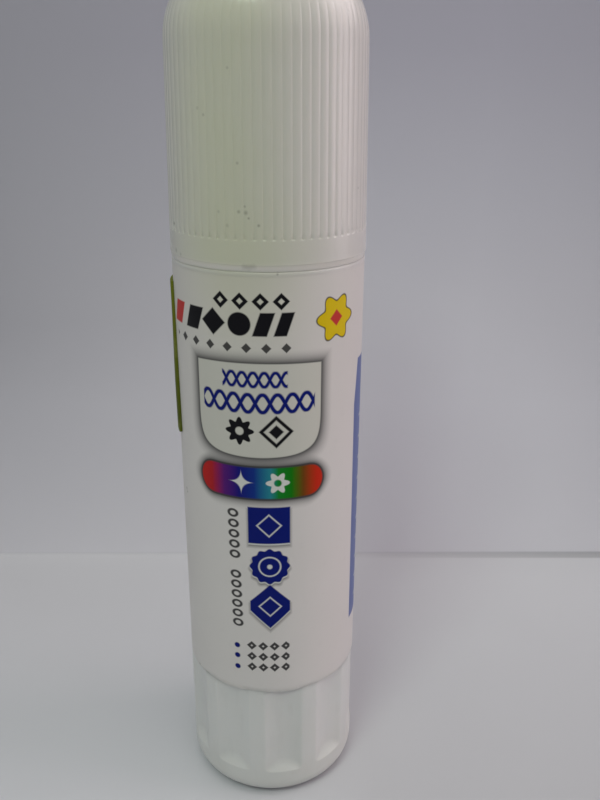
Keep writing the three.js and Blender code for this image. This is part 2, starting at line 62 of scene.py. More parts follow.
class Wire:
    """The output socket of a node, usable in an expression of numbers."""

    def __init__(self, graph: "Graph", socket: bpy.types.NodeSocket) -> None:
        """Keeps the socket and the node tree it belongs to."""
        self.graph = graph
        self.socket = socket

    def math(self, operation: str, *values: Number, clamp: bool = False) -> "Wire":
        """Feeds this wire and further values, in order, to one Math node."""
        settings = {"operation": operation, "use_clamp": clamp}
        return self.graph.node("ShaderNodeMath", settings, dict(enumerate((self, *values))))

    def flipped(self, operation: str, first: float) -> "Wire":
        """Feeds a number and then this wire to one Math node."""
        return self.graph.node("ShaderNodeMath", {"operation": operation}, {0: first, 1: self})

    def __add__(self, other: Number) -> "Wire":
        """Adds a value."""
        return self.math("ADD", other)

    __radd__ = __add__

    def __sub__(self, other: Number) -> "Wire":
        """Takes a value away."""
        return self.math("SUBTRACT", other)

    def __rsub__(self, other: float) -> "Wire":
        """Takes this wire away from a number."""
        return self.flipped("SUBTRACT", other)

    def __mul__(self, other: Number) -> "Wire":
        """Multiplies by a value."""
        return self.math("MULTIPLY", other)

    __rmul__ = __mul__

    def __truediv__(self, other: Number) -> "Wire":
        """Divides by a value."""
        return self.math("DIVIDE", other)

    def __rtruediv__(self, other: float) -> "Wire":
        """Divides a number by this wire."""
        return self.flipped("DIVIDE", other)

    def __neg__(self) -> "Wire":
        """Turns the sign round."""
        return self.math("MULTIPLY", -1.0)

    def __abs__(self) -> "Wire":
        """Drops the sign."""
        return self.math("ABSOLUTE")

    def least(self, other: Number) -> "Wire":
        """The smaller of this and another value."""
        return self.math("MINIMUM", other)

    def most(self, other: Number) -> "Wire":
        """The larger of this and another value."""
        return self.math("MAXIMUM", other)

    def ramp(self, start: float, stop: float) -> "Wire":
        """Runs from 0 at start to 1 at stop, which may be the lower one, and stays there."""
        slope = 1.0 / (stop - start)
        return self.math("MULTIPLY_ADD", slope, -start * slope, clamp=True)


class Graph:
    """A node tree, and the one method that adds nodes to it."""

    def __init__(self, tree: bpy.types.NodeTree) -> None:
        """Keeps the tree."""
        self.tree = tree

    def node(
        self,
        kind: str,
        settings: Optional[dict[str, object]] = None,
        inputs: Optional[dict[int | str, object]] = None,
        output: int | str = 0,
    ) -> Wire:
        """Adds one node: its settings first, then the values or links of its sockets.

        Args:
            kind: The node's type.
            settings: The node's own properties; stops are the places and colours of a ramp.
            inputs: Values or wires by the socket's number or name.
            output: The number or name of the output wanted.

        Returns:
            That output.
        """
        made = self.tree.nodes.new(kind)
        for name, value in (settings or {}).items():
            if name == "stops":
                self._set_stops(made.color_ramp, value)
            else:
                setattr(made, name, value)
        for key, value in (inputs or {}).items():
            if isinstance(value, Wire):
                self.tree.links.new(value.socket, made.inputs[key])
            else:
                made.inputs[key].default_value = value
        return Wire(self, made.outputs[output])

    @staticmethod
    def _set_stops(ramp: bpy.types.ColorRamp, stops: Sequence[tuple[float, Colour]]) -> None:
        """Writes the stops of a colour ramp.

        Args:
            ramp: The ramp to fill.
            stops: Places from 0 to 1, each with its colour.
        """
        while len(ramp.elements) < len(stops):
            ramp.elements.new(1.0)
        for element, (place, colour) in zip(ramp.elements, stops):
            element.position = place
            element.color = (*colour, 1.0)

    def output_of(self, wire: Wire, name: str) -> Wire:
        """Another output of the node that a wire comes from."""
        return Wire(self, wire.socket.node.outputs[name])

    def show(self, wire: Wire, output: str) -> None:
        """Links a shader to the surface of the named output node."""
        self.tree.links.new(wire.socket, self.tree.nodes[output].inputs[0])


class Shader(Graph):
    """A material with its Principled shader."""

    def __init__(self, name: str, **constants: float | tuple[float, ...]) -> None:
        """Makes the material.

        Args:
            name: The material's name.
            constants: Socket values of the Principled shader, with _ for a space.
        """
        self.material = bpy.data.materials.new(name)
        self.material.use_nodes = True
        super().__init__(self.material.node_tree)
        self.surface = self.tree.nodes["Principled BSDF"]
        for socket, value in constants.items():
            self.surface.inputs[socket.replace("_", " ")].default_value = value
        self.place = self.node("ShaderNodeTexCoord", output="Object")
        split = self.node("ShaderNodeSeparateXYZ", inputs={0: self.place})
        self.x, self.y, self.z = (self.output_of(split, axis) * (1 / MM) for axis in "XYZ")

    def feed(self, socket: str, wire: Wire) -> None:
        """Links a wire to a socket of the Principled shader."""
        self.tree.links.new(wire.socket, self.surface.inputs[socket])

    def tint(self, factor: Number, low: Wire | Colour, high: Wire | Colour) -> Wire:
        """Blends two colours.

        Args:
            factor: 0 gives the low colour and 1 the high one.
            low: A colour, or a wire that carries one.
            high: A colour, or a wire that carries one.

        Returns:
            The blended colour.
        """
        pair = [value if isinstance(value, Wire) else (*value, 1.0) for value in (low, high)]
        inputs = {0: factor, 6: pair[0], 7: pair[1]}
        return self.node("ShaderNodeMix", {"data_type": "RGBA"}, inputs, output=2)

    def noise(self, scale: float, detail: float = 2.0, stretch: Sequence[float] = (1, 1, 1)) -> Wire:
        """Noise over the piece.

        Args:
            scale: Waves per millimetre.
            detail: Octaves added to the first.
            stretch: Factors on the place along X, Y and Z.

        Returns:
            The noise value, about 0.5 on average.
        """
        pair = {0: self.place, 1: tuple(stretch)}
        place = self.node("ShaderNodeVectorMath", {"operation": "MULTIPLY"}, pair)
        inputs = {"Vector": place, "Scale": scale / MM, "Detail": detail}
        return self.node("ShaderNodeTexNoise", {}, inputs, output="Fac")

    def round_angle(self, middle: float = 0.0) -> Wire:
        """The angle round the stick.

        Args:
            middle: Where it is counted from, in degrees from the front line.

        Returns:
            The angle in radians, from minus half a turn to half a turn.
        """
        if not middle:
            return self.x.math("ARCTAN2", -self.y)
        cos, sin = math.cos(math.radians(middle)), math.sin(math.radians(middle))
        return (self.x * cos + self.y * sin).math("ARCTAN2", self.x * sin - self.y * cos)

    def bump(self, height: Wire, depth: float, strength: float = 1.0) -> None:
        """Feeds the Normal socket from a height between 0 and 1, where 1 is depth millimetres."""
        inputs = {"Height": height, "Distance": depth * MM, "Strength": strength}
        self.feed("Normal", self.node("ShaderNodeBump", {}, inputs, output="Normal"))


# Meshes


def rounded(corners: Sequence[tuple[float, ...]], closed: bool = True, steps: int = 4) -> Profile:
    """Rounds the corners of a profile.

    Args:
        corners: Points of radius, height and, where the corner is rounded, the size of the fillet.
        closed: Whether the last corner joins the first.
        steps: Points added along each fillet.

    Returns:
        The profile's points.
    """
    points: Profile = []
    count = len(corners)
    for i, corner in enumerate(corners):
        here = np.array(corner[:2], float)
        size = corner[2] if len(corner) > 2 else 0.0
        if size <= 0 or (not closed and i in (0, count - 1)):
            points.append((float(here[0]), float(here[1])))
            continue
        before = np.array(corners[i - 1][:2], float) - here
        after = np.array(corners[(i + 1) % count][:2], float) - here
        size = min(size, np.linalg.norm(before) / 2, np.linalg.norm(after) / 2)
        start = here + before / np.linalg.norm(before) * size
        stop = here + after / np.linalg.norm(after) * size
        for step in range(steps + 1):
            share = step / steps
            bend = (1 - share) ** 2 * start + 2 * share * (1 - share) * here + share**2 * stop
            points.append((float(bend[0]), float(bend[1])))
    return points


def smooth_step(value: np.ndarray | float, low: float, high: float) -> np.ndarray:
    """Eases from 0 at low to 1 at high."""
    share = np.clip((np.asarray(value, float) - low) / (high - low), 0, 1)
    return share * share * (3 - 2 * share)


def soft_least(first: np.ndarray, second: np.ndarray | float, blend: float) -> np.ndarray:
    """The smaller of two values, with the change from one to the other rounded over blend."""
    gap = np.clip(blend - np.abs(first - second), 0, None) / blend
    return np.minimum(first, second) - gap**2 * blend / 4


@dataclass
class Skin:
    """Points and faces that grow into one smooth mesh."""

    name: str
    points: list[np.ndarray] = field(default_factory=list)
    faces: list[tuple[int, ...]] = field(default_factory=list)
    count: int = 0

    def add_points(self, points: np.ndarray) -> int:
        """Appends points.

        Args:
            points: Places in millimetres.

        Returns:
            The index of the first.
        """
        first = self.count
        self.points.append(points.reshape(-1, 3))
        self.count += len(self.points[-1])
        return first

    def loft(
        self,
        rows: np.ndarray,
        ring: bool = True,
        loop: bool = False,
        poles: Sequence[Optional[float]] = (None, None),
    ) -> "Skin":
        """Joins rows of points with quads.

        Args:
            rows: An array of rows, columns and places, each row counter-clockwise seen from above.
            ring: Whether the last column joins the first.
            loop: Whether the last row joins the first.
            poles: Heights on the axis that close the first and the last row.

        Returns:
            The skin itself.
        """
        height, width = rows.shape[:2]
        first = self.add_points(rows)
        index = first + np.arange(height * width).reshape(height, width)
        if ring:
            index = np.concatenate([index, index[:, :1]], axis=1)
        if loop:
            index = np.concatenate([index, index[:1]], axis=0)
        quads = np.stack([index[:-1, :-1], index[:-1, 1:], index[1:, 1:], index[1:, :-1]], axis=-1)
        self.faces.extend(map(tuple, quads.reshape(-1, 4).tolist()))
        for pole, row, turn in ((poles[0], index[0], -1), (poles[1], index[-1], 1)):
            if pole is not None:
                middle = self.add_points(np.array([[0.0, 0.0, pole]]))
                ends = zip(row[:-1].tolist(), row[1:].tolist())
                self.faces.extend((middle, a, b) if turn > 0 else (middle, b, a) for a, b in ends)
        return self

    def prism(self, outline: Profile, thickness: float, angle: float) -> "Skin":
        """Stands a flat fin in a radial plane.

        Args:
            outline: Its points of radius and height, counter-clockwise.
            thickness: Its thickness across the plane.
            angle: Where it stands, in radians from the front line.

        Returns:
            The skin itself.
        """
        shape = np.array(outline, float)
        along = np.array([math.sin(angle), -math.cos(angle)])
        across = np.array([math.cos(angle), math.sin(angle)])
        sides = []
        for offset in (-thickness / 2, thickness / 2):
            flat = shape[:, :1] * along + offset * across
            sides.append(np.concatenate([flat, shape[:, 1:]], axis=1))
        first = self.add_points(np.concatenate(sides))
        size = len(outline)
        self.faces.append(tuple(first + i for i in range(size)))
        self.faces.append(tuple(first + size + i for i in reversed(range(size))))
        for i in range(size):
            j = (i + 1) % size
            self.faces.append((first + j, first + i, first + size + i, first + size + j))
        return self

    def build(self, sharp: float = 32.0) -> bpy.types.Object:
        """Writes the mesh.

        Args:
            sharp: Edges bent by more degrees than this stay crisp.

        Returns:
            The object, linked to the scene.
        """
        mesh = bpy.data.meshes.new(self.name)
        mesh.from_pydata((np.concatenate(self.points) * MM).tolist(), [], self.faces)
        mesh.validate()
        mesh.shade_smooth()
        mesh.set_sharp_from_angle(angle=math.radians(sharp))
        made = bpy.data.objects.new(self.name, mesh)
        bpy.context.scene.collection.objects.link(made)
        return made


def spread(columns: int) -> np.ndarray:
    """Angles of columns that stand evenly round the stick."""
    return TURN * np.arange(columns) / columns


def rings(radii: np.ndarray | float, heights: np.ndarray, angles: np.ndarray) -> np.ndarray:
    """Rows of points round the axis: radii and heights for each row, or for each row and column."""
    radii, heights, angles = np.broadcast_arrays(radii, heights, angles)
    return np.stack([radii * np.sin(angles), -radii * np.cos(angles), heights], axis=-1)


def turned(profile: Profile, angles: np.ndarray) -> np.ndarray:
    """Rows of points for a profile of radii and heights, turned through the angles."""
    shape = np.array(profile, float)
    return rings(shape[:, :1], shape[:, 1:], angles)


def mount(made: bpy.types.Object, shader: Shader, body: str, slot: str, *nodes: str) -> None:
    """Dresses a piece and tells the frame where it belongs.

    Args:
        made: The piece.
        shader: Its material.
        body: The body that it rides on.
        slot: The record's material slot; not used.
        nodes: The solids that it stands for.
    """
    made.data.materials.append(shader.material)
    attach(made, body)
    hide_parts(*nodes)
    logger.info("%s: %d faces on %s", made.name, len(made.data.polygons), body)


# Finishes


@dataclass(frozen=True)
class PaintedLightPatch:
    """A soft patch of painted light: a yellow-green painted colour cast on plastic or film, or a painted
    highlight round a lip.

    The angle is counted from the front line to the right, in degrees, and heights are in millimetres.
    """

    angle: float
    height: float
    spread_angle: float
    spread_height: float
    colour: Colour
    share: float = 1.0

    def lay(self, shader: Shader, under: Wire) -> Wire:
        """Tints a colour where the patch lies.

        Args:
            shader: The material's shader.
            under: The colour so far.

        Returns:
            The tinted colour.
        """
        turn = (shader.round_angle() - math.radians(self.angle)) / math.radians(self.spread_angle)
        rise = (shader.z - self.height) / self.spread_height
        fall = (turn * turn + rise * rise) * -1.0
        reach = (shader.x * shader.x + shader.y * shader.y).math("SQRT").ramp(3.0, 9.5)
        mask = fall.math("EXPONENT") * reach * (shader.noise(0.12, 3.0) * 0.6 + 0.7)
        return shader.tint((mask * self.share).least(1.0), under, self.colour)


# How far the roughness of one plastic varies over a piece.
GLOSS_CHANGE = 0.06
# A yellow-green patch under the cap's edge, which the tube and its label share: a painted colour cast of the
# greenish light on the front left.
PAINTED_GREEN_CAST = PaintedLightPatch(-15.0, 81.0, 34.0, 11.0, (0.58, 0.585, 0.45), 0.8)


@dataclass(frozen=True)
class Speck:
    """A small soft dark mark, mostly a speck of dirt and in one row on the knob painted shade: its angle in
    degrees, its height, its size and how dark it is.
    """

    angle: float
    height: float
    size: float
    share: float = 0.45
    colour: Colour = (0.12, 0.125, 0.085)

    def lay(self, shader: Shader, under: Wire, radius: float) -> Wire:
        """Marks a colour with the speck.

        Args:
            shader: The material's shader.
            under: The colour so far.
            radius: The radius of the surface that it sticks to.

        Returns:
            The marked colour.
        """
        turn = math.radians(self.angle)
        place = (radius * math.sin(turn), -radius * math.cos(turn), self.height)
        inputs = {0: shader.place, 1: tuple(value * MM for value in place)}
        away = shader.node("ShaderNodeVectorMath", {"operation": "DISTANCE"}, inputs, output="Value")
        mark = away.ramp(self.size * MM, 0.2 * self.size * MM)
        return shader.tint(mark * self.share, under, self.colour)


@dataclass(frozen=True)
class MouldedPlastic:
    """Semi-gloss moulded polypropylene, with faint flow marks, specks of dirt, patches of painted light,
    painted shade along a seam and a fine orange peel.

    A seam is the height of a joint where painted shade darkens the colour, and how far that painted shade
    reaches from it.
    The specks' lean is how much the surface they stick to draws in for each millimetre up.
    """

    name: str
    high: Colour
    low: Colour
    roughness: float
    heights: tuple[float, float]
    patches: tuple[PaintedLightPatch, ...] = ()
    specks: tuple[Speck, ...] = ()
    speck_radius: float = 12.6
    speck_lean: float = 0.0
    seam: Optional[tuple[float, float]] = None

    def shader(self) -> Shader:
        """Builds the material.

        Returns:
            The shader, with base colour, roughness and bump fed.
        """
        made = Shader(
            self.name, IOR=1.49,
            Subsurface_Weight=0.4, Subsurface_Scale=0.0015, Subsurface_Radius=(1.0, 0.9, 0.8),
        )
        climb = made.z.ramp(*self.heights)
        cloud = made.noise(0.09, 3.0)
        grain = made.noise(0.8, 4.0, (1, 1, 0.25))
        colour = made.tint(climb, self.low, self.high)
        colour = made.tint(cloud.ramp(0.35, 0.7) * 0.10, colour, (0.42, 0.43, 0.34))
        colour = made.tint(grain.ramp(0.55, 0.8) * 0.08, colour, (0.30, 0.30, 0.27))
        # Patches of painted light: painted colour casts and painted highlights.
        for patch in self.patches:
            colour = patch.lay(made, colour)
        # Painted shade: a soft dark band along the seam, mottled by the grain, where the joint would lie in
        # shadow.
        if self.seam:
            painted_seam_shade = abs(made.z - self.seam[0]).ramp(self.seam[1], 0.1 * self.seam[1])
            colour = made.tint(painted_seam_shade * painted_seam_shade * (grain * 0.3 + 0.05), colour, (0.20, 0.205, 0.18))
        for speck in self.specks:
            inset = self.speck_lean * (speck.height - self.heights[0])
            colour = speck.lay(made, colour, self.speck_radius - inset)
        made.feed("Base Color", colour)
        made.feed("Roughness", cloud * GLOSS_CHANGE + (self.roughness - GLOSS_CHANGE / 2))
        made.bump(made.noise(2.2, 2.0), 0.012, 0.6)
        return made


@dataclass(frozen=True)
class NaturalPlastic:
    """Milky unpainted plastic of the inner works, with a film of dried glue."""

    name: str
    colour: Colour

    def shader(self) -> Shader:
        """Builds the material.

        Returns:
            The shader, with base colour, roughness and bump fed.
        """
        made = Shader(self.name, IOR=1.49, Subsurface_Weight=0.15, Subsurface_Scale=0.005)
        cloud = made.noise(0.25, 3.0)
        shade = tuple(0.82 * value for value in self.colour)
        made.feed("Base Color", made.tint(cloud.ramp(0.4, 0.75), self.colour, shade))
        made.feed("Roughness", cloud * 0.3 + 0.3)
        made.bump(made.noise(1.1, 3.0), 0.03, 0.5)
        return made


@dataclass(frozen=True)
class GlueWax:
    """The glue itself: waxy, translucent off-white, smeared smooth on top."""

    name: str = "glue"
    colour: Colour = (0.62, 0.61, 0.55)
    worn_from: float = 45.0

    def shader(self) -> Shader:
        """Builds the material.

        Returns:
            The shader, with base colour, roughness and bump fed.
        """
        made = Shader(self.name, IOR=1.45, Subsurface_Weight=0.3, Subsurface_Scale=0.006)
        cloud = made.noise(0.35, 4.0)
        streak = made.noise(0.5, 3.0, (3.5, 0.6, 1.0))
        worn = made.z.ramp(self.worn_from, self.worn_from + 2.5)
        shade = tuple(0.80 * value for value in self.colour)
        made.feed("Base Color", made.tint(cloud.ramp(0.35, 0.75), self.colour, shade))
        made.feed("Roughness", 0.55 - worn * 0.15 + streak * 0.12)
        made.bump(cloud * 0.5 + streak * worn * 0.6, 0.12, 0.7)
        return made


@dataclass(frozen=True)
class StickerPaper:
    """Matt olive paper of the price sticker, with a printed frame, bars and lozenges, rubbed in places."""

    name: str = "sticker_paper"
    high: Colour = (0.15, 0.175, 0.014)
    low: Colour = (0.085, 0.105, 0.008)
    faded: Colour = (0.34, 0.38, 0.13)
    radius: float = 12.9
    middle: float = -131.0

    def shader(self) -> Shader:
        """Builds the material.

        Returns:
            The shader with the print laid over the paper.
        """
        made = Shader(self.name, IOR=1.45, Specular_IOR_Level=0.2)
        sheet = PrintSheet(made, self.radius, self.middle)
        fibre = made.noise(1.6, 5.0, (1, 1, 0.4))
        colour = made.tint(made.z.ramp(60.0, 76.0), self.low, self.high)
        lines = abs(sheet.bar(-11.2, 10.6, 58.6, 75.2)) - 0.22
        for right, low, high in ((2.6, 70.6, 72.4), (7.8, 61.0, 61.8), (5.2, 63.0, 63.8)):
            lines = lines.least(sheet.bar(-8.4, right, low, high))
        lozenges = abs(sheet.repeat(-6.9, 3.3)) + abs(sheet.z - 67.3) - 1.35
        lozenges = lozenges.most(sheet.bar(-8.6, 8.0, 65.5, 69.1))
        print_mask = sheet.ink(lines.least(lozenges), 0.3)
        colour = made.tint(print_mask * (fibre * 0.3 + 0.55), colour, self.faded)
        colour = made.tint(fibre.ramp(0.52, 0.75) * 0.3, colour, (0.15, 0.16, 0.06))
        rubbed = made.noise(0.22, 4.0).ramp(0.56, 0.74)
        colour = made.tint(rubbed * 0.35, colour, self.faded)
        made.feed("Base Color", colour)
        made.feed("Roughness", fibre * 0.2 + 0.6)
        made.bump(fibre, 0.02, 0.6)
        return made


# The printed label


class Ink(Enum):
    """The label's printing inks, as the colours they lay down."""

    BLACK = (0.005, 0.005, 0.007)
    BLUE = (0.001, 0.008, 0.15)
    PALE_BLUE = (0.11, 0.145, 0.33)
    RED = (0.50, 0.035, 0.03)
    YELLOW = (0.66, 0.49, 0.004)
    WHITE = (0.64, 0.66, 0.62)
    SHADE = (0.05, 0.05, 0.05)


@dataclass
class PrintSheet:
    """Printed film laid flat: x runs round the stick and z up, both in millimetres.

    x is counted from the front line, or from the middle's angle in degrees where that is given. The methods
    that draw a motif give the distance to its edge, below 0 inside it.
    """

    shader: Shader
    radius: float
    middle: float = 0.0
    x: Wire = field(init=False)
    z: Wire = field(init=False)

    def __post_init__(self) -> None:
        """Works out the flat coordinates."""
        self.x = self.shader.round_angle(self.middle) * self.radius
        self.z = self.shader.z

    def bar(self, left: float, right: float, low: float, high: float, slant: float = 0.0) -> Wire:
        """A straight bar.

        Args:
            left: Its left edge.
            right: Its right edge.
            low: Its lower edge.
            high: Its upper edge.
            slant: How far it leans to the right for each millimetre up.

        Returns:
            The distance to its edge.
        """
        across = self.x - (left + right) / 2
        rise = self.z - (low + high) / 2
        if slant:
            across = across - rise * slant
        return (abs(across) - (right - left) / 2).most(abs(rise) - (high - low) / 2)

    def repeat(self, centre: float, pitch: float) -> Wire:
        """The x distance from the nearest of many lines, a pitch apart."""
        shifted = self.x - (centre - pitch / 2)
        return shifted.math("WRAP", pitch, 0.0) - pitch / 2

    def disc(self, x: float, z: float, size: float) -> Wire:
        """A round dot about a point."""
        across, rise = self.x - x, self.z - z
        return (across * across + rise * rise).math("SQRT") - size

    def lozenge(self, x: float, z: float, size: float) -> Wire:
        """A square that stands on its corner; size is its half diagonal."""
        return (abs(self.x - x) + abs(self.z - z) - size) * 0.7071

    def rosette(self, x: float, z: float, size: float, petals: int, swing: float) -> Wire:
        """A round flower.

        Args:
            x: Its middle along the label.
            z: Its middle in height.
            size: Its mean radius.
            petals: How many petals it has.
            swing: How far a petal stands out.

        Returns:
            The distance to its edge.
        """
        across, rise = self.x - x, self.z - z
        reach = (across * across + rise * rise).math("SQRT")
        petal = (rise.math("ARCTAN2", across) * float(petals)).math("COSINE")
        return reach - size - petal * swing

    def braid(self, low: float, high: float, pitch: float, width: float) -> Wire:
        """Two wavy lines that cross each other along the label.

        Args:
            low: The height of their troughs.
            high: The height of their crests.
            pitch: From one crest of a line to its next.
            width: The lines' width.

        Returns:
            The distance to their edge.
        """
        swing = (high - low - width) / 2
        turn = self.x * (TURN / pitch)
        slope = turn.math("COSINE") * (swing * TURN / pitch)
        sway = turn.math("SINE") * swing
        rise = self.z - (low + high) / 2
        away = abs(rise - sway).least(abs(rise + sway))
        return away / (slope * slope + 1.0).math("SQRT") - width / 2

    def ink(self, distance: Wire, blur: float = 0.16) -> Wire:
        """Turns a distance into ink: 1 inside, 0 outside, with an edge as wide as blur."""
        return distance.ramp(blur / 2, -blur / 2)


RAINBOW = (
    (0.00, (0.50, 0.016, 0.008)), (0.11, (0.40, 0.014, 0.018)), (0.22, (0.09, 0.010, 0.16)),
    (0.34, (0.006, 0.006, 0.17)), (0.46, (0.004, 0.03, 0.22)), (0.58, (0.02, 0.22, 0.27)),
    (0.64, (0.004, 0.20, 0.02)), (0.74, (0.004, 0.17, 0.002)), (0.83, (0.14, 0.050, 0.003)),
    (0.94, (0.50, 0.020, 0.005)), (1.00, (0.54, 0.022, 0.008)),
)
COLUMN_X = -0.25
ROSETTE_Z = 40.5
HEXAGON_Z = 34.2


@dataclass
class LabelArt:
    """The label's generic print: plain panels, stripes and ornaments, laid one by one over the film."""

    sheet: PrintSheet
    colour: Wire

    def tint(self, mask: Wire, colour: Wire | Colour) -> None:
        """Lays a colour where the mask is."""
        self.colour = self.sheet.shader.tint(mask, self.colour, colour)

    def lay(self, distance: Wire, ink: Ink, share: float = 1.0) -> None:
        """Prints one motif in an ink."""
        mask = self.sheet.ink(distance)
        self.tint(mask * share if share < 1 else mask, ink.value)

    def halo(self, distance: Wire, width: float) -> None:
        """Prints the soft dark glow round a panel, as far as width."""
        near = distance.ramp(width, 0.0)
        self.tint(near * (near * 0.7 + 0.3), Ink.SHADE.value)

    def shield(self) -> None:
        """Prints the pale shield-shaped panel and its glow."""
        sheet = self.sheet
        across = abs(sheet.x + 1.62)
        foot = 56.45 - sheet.z + across * across * 0.012
        bowl = (across - 8.3).math("SMOOTH_MAX", foot, 5.5)
        panel = bowl.most(sheet.z - 68.95 + across * across * 0.004)
        self.halo(panel, 1.8)
        self.tint(sheet.ink(panel), (0.575, 0.575, 0.51))

    def heading(self) -> None:
        """Prints the rows of plain shapes above the shield."""
        sheet = self.sheet
        low, high, slant = 72.4, 75.3, 0.35
        outlined = abs(sheet.repeat(-6.05, 2.5)) + abs(sheet.z - 76.65)
        shapes = (abs(outlined - 0.72) - 0.32).most(sheet.bar(-7.3, 2.7, 75.55, 77.75))
        shapes = shapes.least(sheet.bar(-11.6, -9.2, low, high, slant))
        shapes = shapes.least(sheet.lozenge(-7.2, 73.85, 1.7)).least(sheet.disc(-3.7, 73.85, 1.45))
        for left, right in ((-1.6, 0.2), (1.0, 2.6)):
            shapes = shapes.least(sheet.bar(left, right, low, high, slant))
        self.lay(shapes, Ink.BLACK)
        self.lay(sheet.bar(-15.3, -12.9, low, high, slant), Ink.RED)
        small = abs(sheet.repeat(-0.4, 2.45)) + abs(sheet.z - 70.9) - 0.62
        self.lay(small.most(sheet.bar(-14.9, 2.6, 70.0, 71.8)), Ink.BLACK, 0.9)

    def shield_rows(self) -> None:
        """Prints two blue braids, a gear and a lozenge inside the shield."""
        sheet = self.sheet
        upper = sheet.braid(65.8, 68.0, 2.77, 0.42).most(sheet.bar(-6.1, 2.2, 65.8, 68.0))
        lower = sheet.braid(62.4, 65.2, 3.72, 0.5).most(sheet.bar(-9.1, 5.8, 62.4, 65.2))
        self.lay(upper.least(lower), Ink.BLUE)
        gear = sheet.rosette(-3.95, 60.0, 1.6, 8, 0.3).most(0.55 - sheet.disc(-3.95, 60.0, 0.0))
        lozenge = (abs(sheet.lozenge(0.75, 60.0, 1.9)) - 0.22).least(sheet.lozenge(0.75, 60.0, 0.95))
        self.lay(gear.least(lozenge), Ink.BLACK)

    def capsule(self) -> None:
        """Prints the rainbow capsule under the shield, with a pale star and flower."""
        sheet = self.sheet
        across, rise = abs(sheet.x + 1.45), abs(sheet.z - 52.85)
        body = (across - 8.65 + rise * rise * 0.22).math("SMOOTH_MAX", rise - 2.3, 1.6)
        self.halo(body, 1.6)
        along = {0: sheet.x.ramp(-10.1, 7.2)}
        rainbow = sheet.shader.node("ShaderNodeValToRGB", {"stops": RAINBOW}, along)
        rim = sheet.ink(abs(body) - 0.14) * 0.85
        self.tint(sheet.ink(body), rainbow)
        self.tint(rim, Ink.SHADE.value)
        star = (abs(sheet.x + 3.9).math("SQRT") + abs(sheet.z - 52.9).math("SQRT") - 1.33) * 0.8
        flower = sheet.rosette(0.9, 52.9, 1.25, 6, 0.3).most(0.5 - sheet.disc(0.9, 52.9, 0.0))
        self.lay(star.least(flower), Ink.WHITE)

    def blocks(self, down: float) -> Wire:
        """The distance to the column's square, rosette and hexagon.

        Args:
            down: How far they are moved down, in millimetres.

        Returns:
            The distance, which is below zero inside them.
        """
        x, sheet = COLUMN_X, self.sheet
        square = sheet.bar(-3.1, 2.5, 44.0 - down, 49.4 - down)
        rosette = sheet.rosette(x, ROSETTE_Z - down, 2.6, 12, 0.14)
        hexagon = sheet.lozenge(x, HEXAGON_Z - down, 3.5).most(abs(sheet.x - x) - 2.75)
        return square.least(rosette).least(hexagon)

    def column(self) -> None:
        """Prints the blue column with its shadow, its pale edge and its line motifs."""
        x, sheet = COLUMN_X, self.sheet
        self.tint(self.blocks(0.45).ramp(0.35, -0.25) * 0.75, Ink.SHADE.value)
        self.lay(self.blocks(0.2), Ink.WHITE)
        self.lay(self.blocks(0.0), Ink.BLUE)
        lines = abs(sheet.lozenge(-0.3, 46.7, 1.6)) - 0.09
        lines = lines.least(abs(sheet.disc(x, ROSETTE_Z, 1.45)) - 0.1)
        lines = lines.least(abs(sheet.lozenge(x, HEXAGON_Z, 1.5)) - 0.09)
        self.lay(lines.least(sheet.disc(x, ROSETTE_Z, 0.35)), Ink.WHITE)

    def chain_and_foot(self) -> None:
        """Prints the chain of rings beside the column, and the lozenges and dots at its foot."""
        sheet = self.sheet
        lean = sheet.x + sheet.z * 0.02 + 4.2
        step = (sheet.z - 30.4).math("WRAP", 1.55, 0.0) - 0.775
        chain = abs((lean * lean + step * step * 1.6).math("SQRT") - 0.60) - 0.2
        chain = chain.most(sheet.bar(-6.4, -3.6, 30.4, 49.0)).most(0.9 - abs(sheet.z - 40.5))
        rows = abs(sheet.z - 25.85)
        rows = abs(rows - 1.8).least(rows)
        small = abs(abs(sheet.repeat(-2.9, 1.6)) + rows - 0.44) - 0.27
        small = small.most(sheet.bar(-3.7, 2.4, 23.3, 28.4))
        self.lay(chain.least(small), Ink.BLACK, 0.92)
        dots = sheet.disc(-5.05, 27.3, 0.42)
        for height in (25.6, 23.7):
            dots = dots.least(sheet.disc(-5.05, height, 0.42))
        self.lay(dots, Ink.BLUE)

    def side(self) -> None:
        """Prints the yellow flower at the right and the blue panel that runs round the back."""
        sheet = self.sheet
        flower = sheet.rosette(9.0, 73.9, 2.6, 6, 0.45)
        self.lay(flower, Ink.YELLOW)
        self.lay(abs(flower) - 0.1, Ink.BLACK, 0.9)
        self.lay(sheet.lozenge(9.0, 73.9, 1.05), Ink.RED)
        edge = 13.75 + (sheet.z - 61.0).most(0.0) * 0.17 - (sheet.z - 61.0) * 0.012
        panel = (edge - sheet.x).most(sheet.x - 32.5)
        self.lay(panel.most(27.0 - sheet.z).most(sheet.z - 67.2), Ink.PALE_BLUE)
        stripes = abs((sheet.z - 28.0).math("WRAP", 3.2, 0.0) - 1.6) - 0.16
        self.lay(stripes.most(sheet.bar(16.5, 31.0, 29.0, 61.0)), Ink.WHITE, 0.85)

    def lay_all(self) -> None:
        """Prints everything, from the lowest layer up."""
        for step in (self.shield, self.heading, self.shield_rows, self.capsule):
            step()
        for step in (self.column, self.chain_and_foot, self.side):
            step()


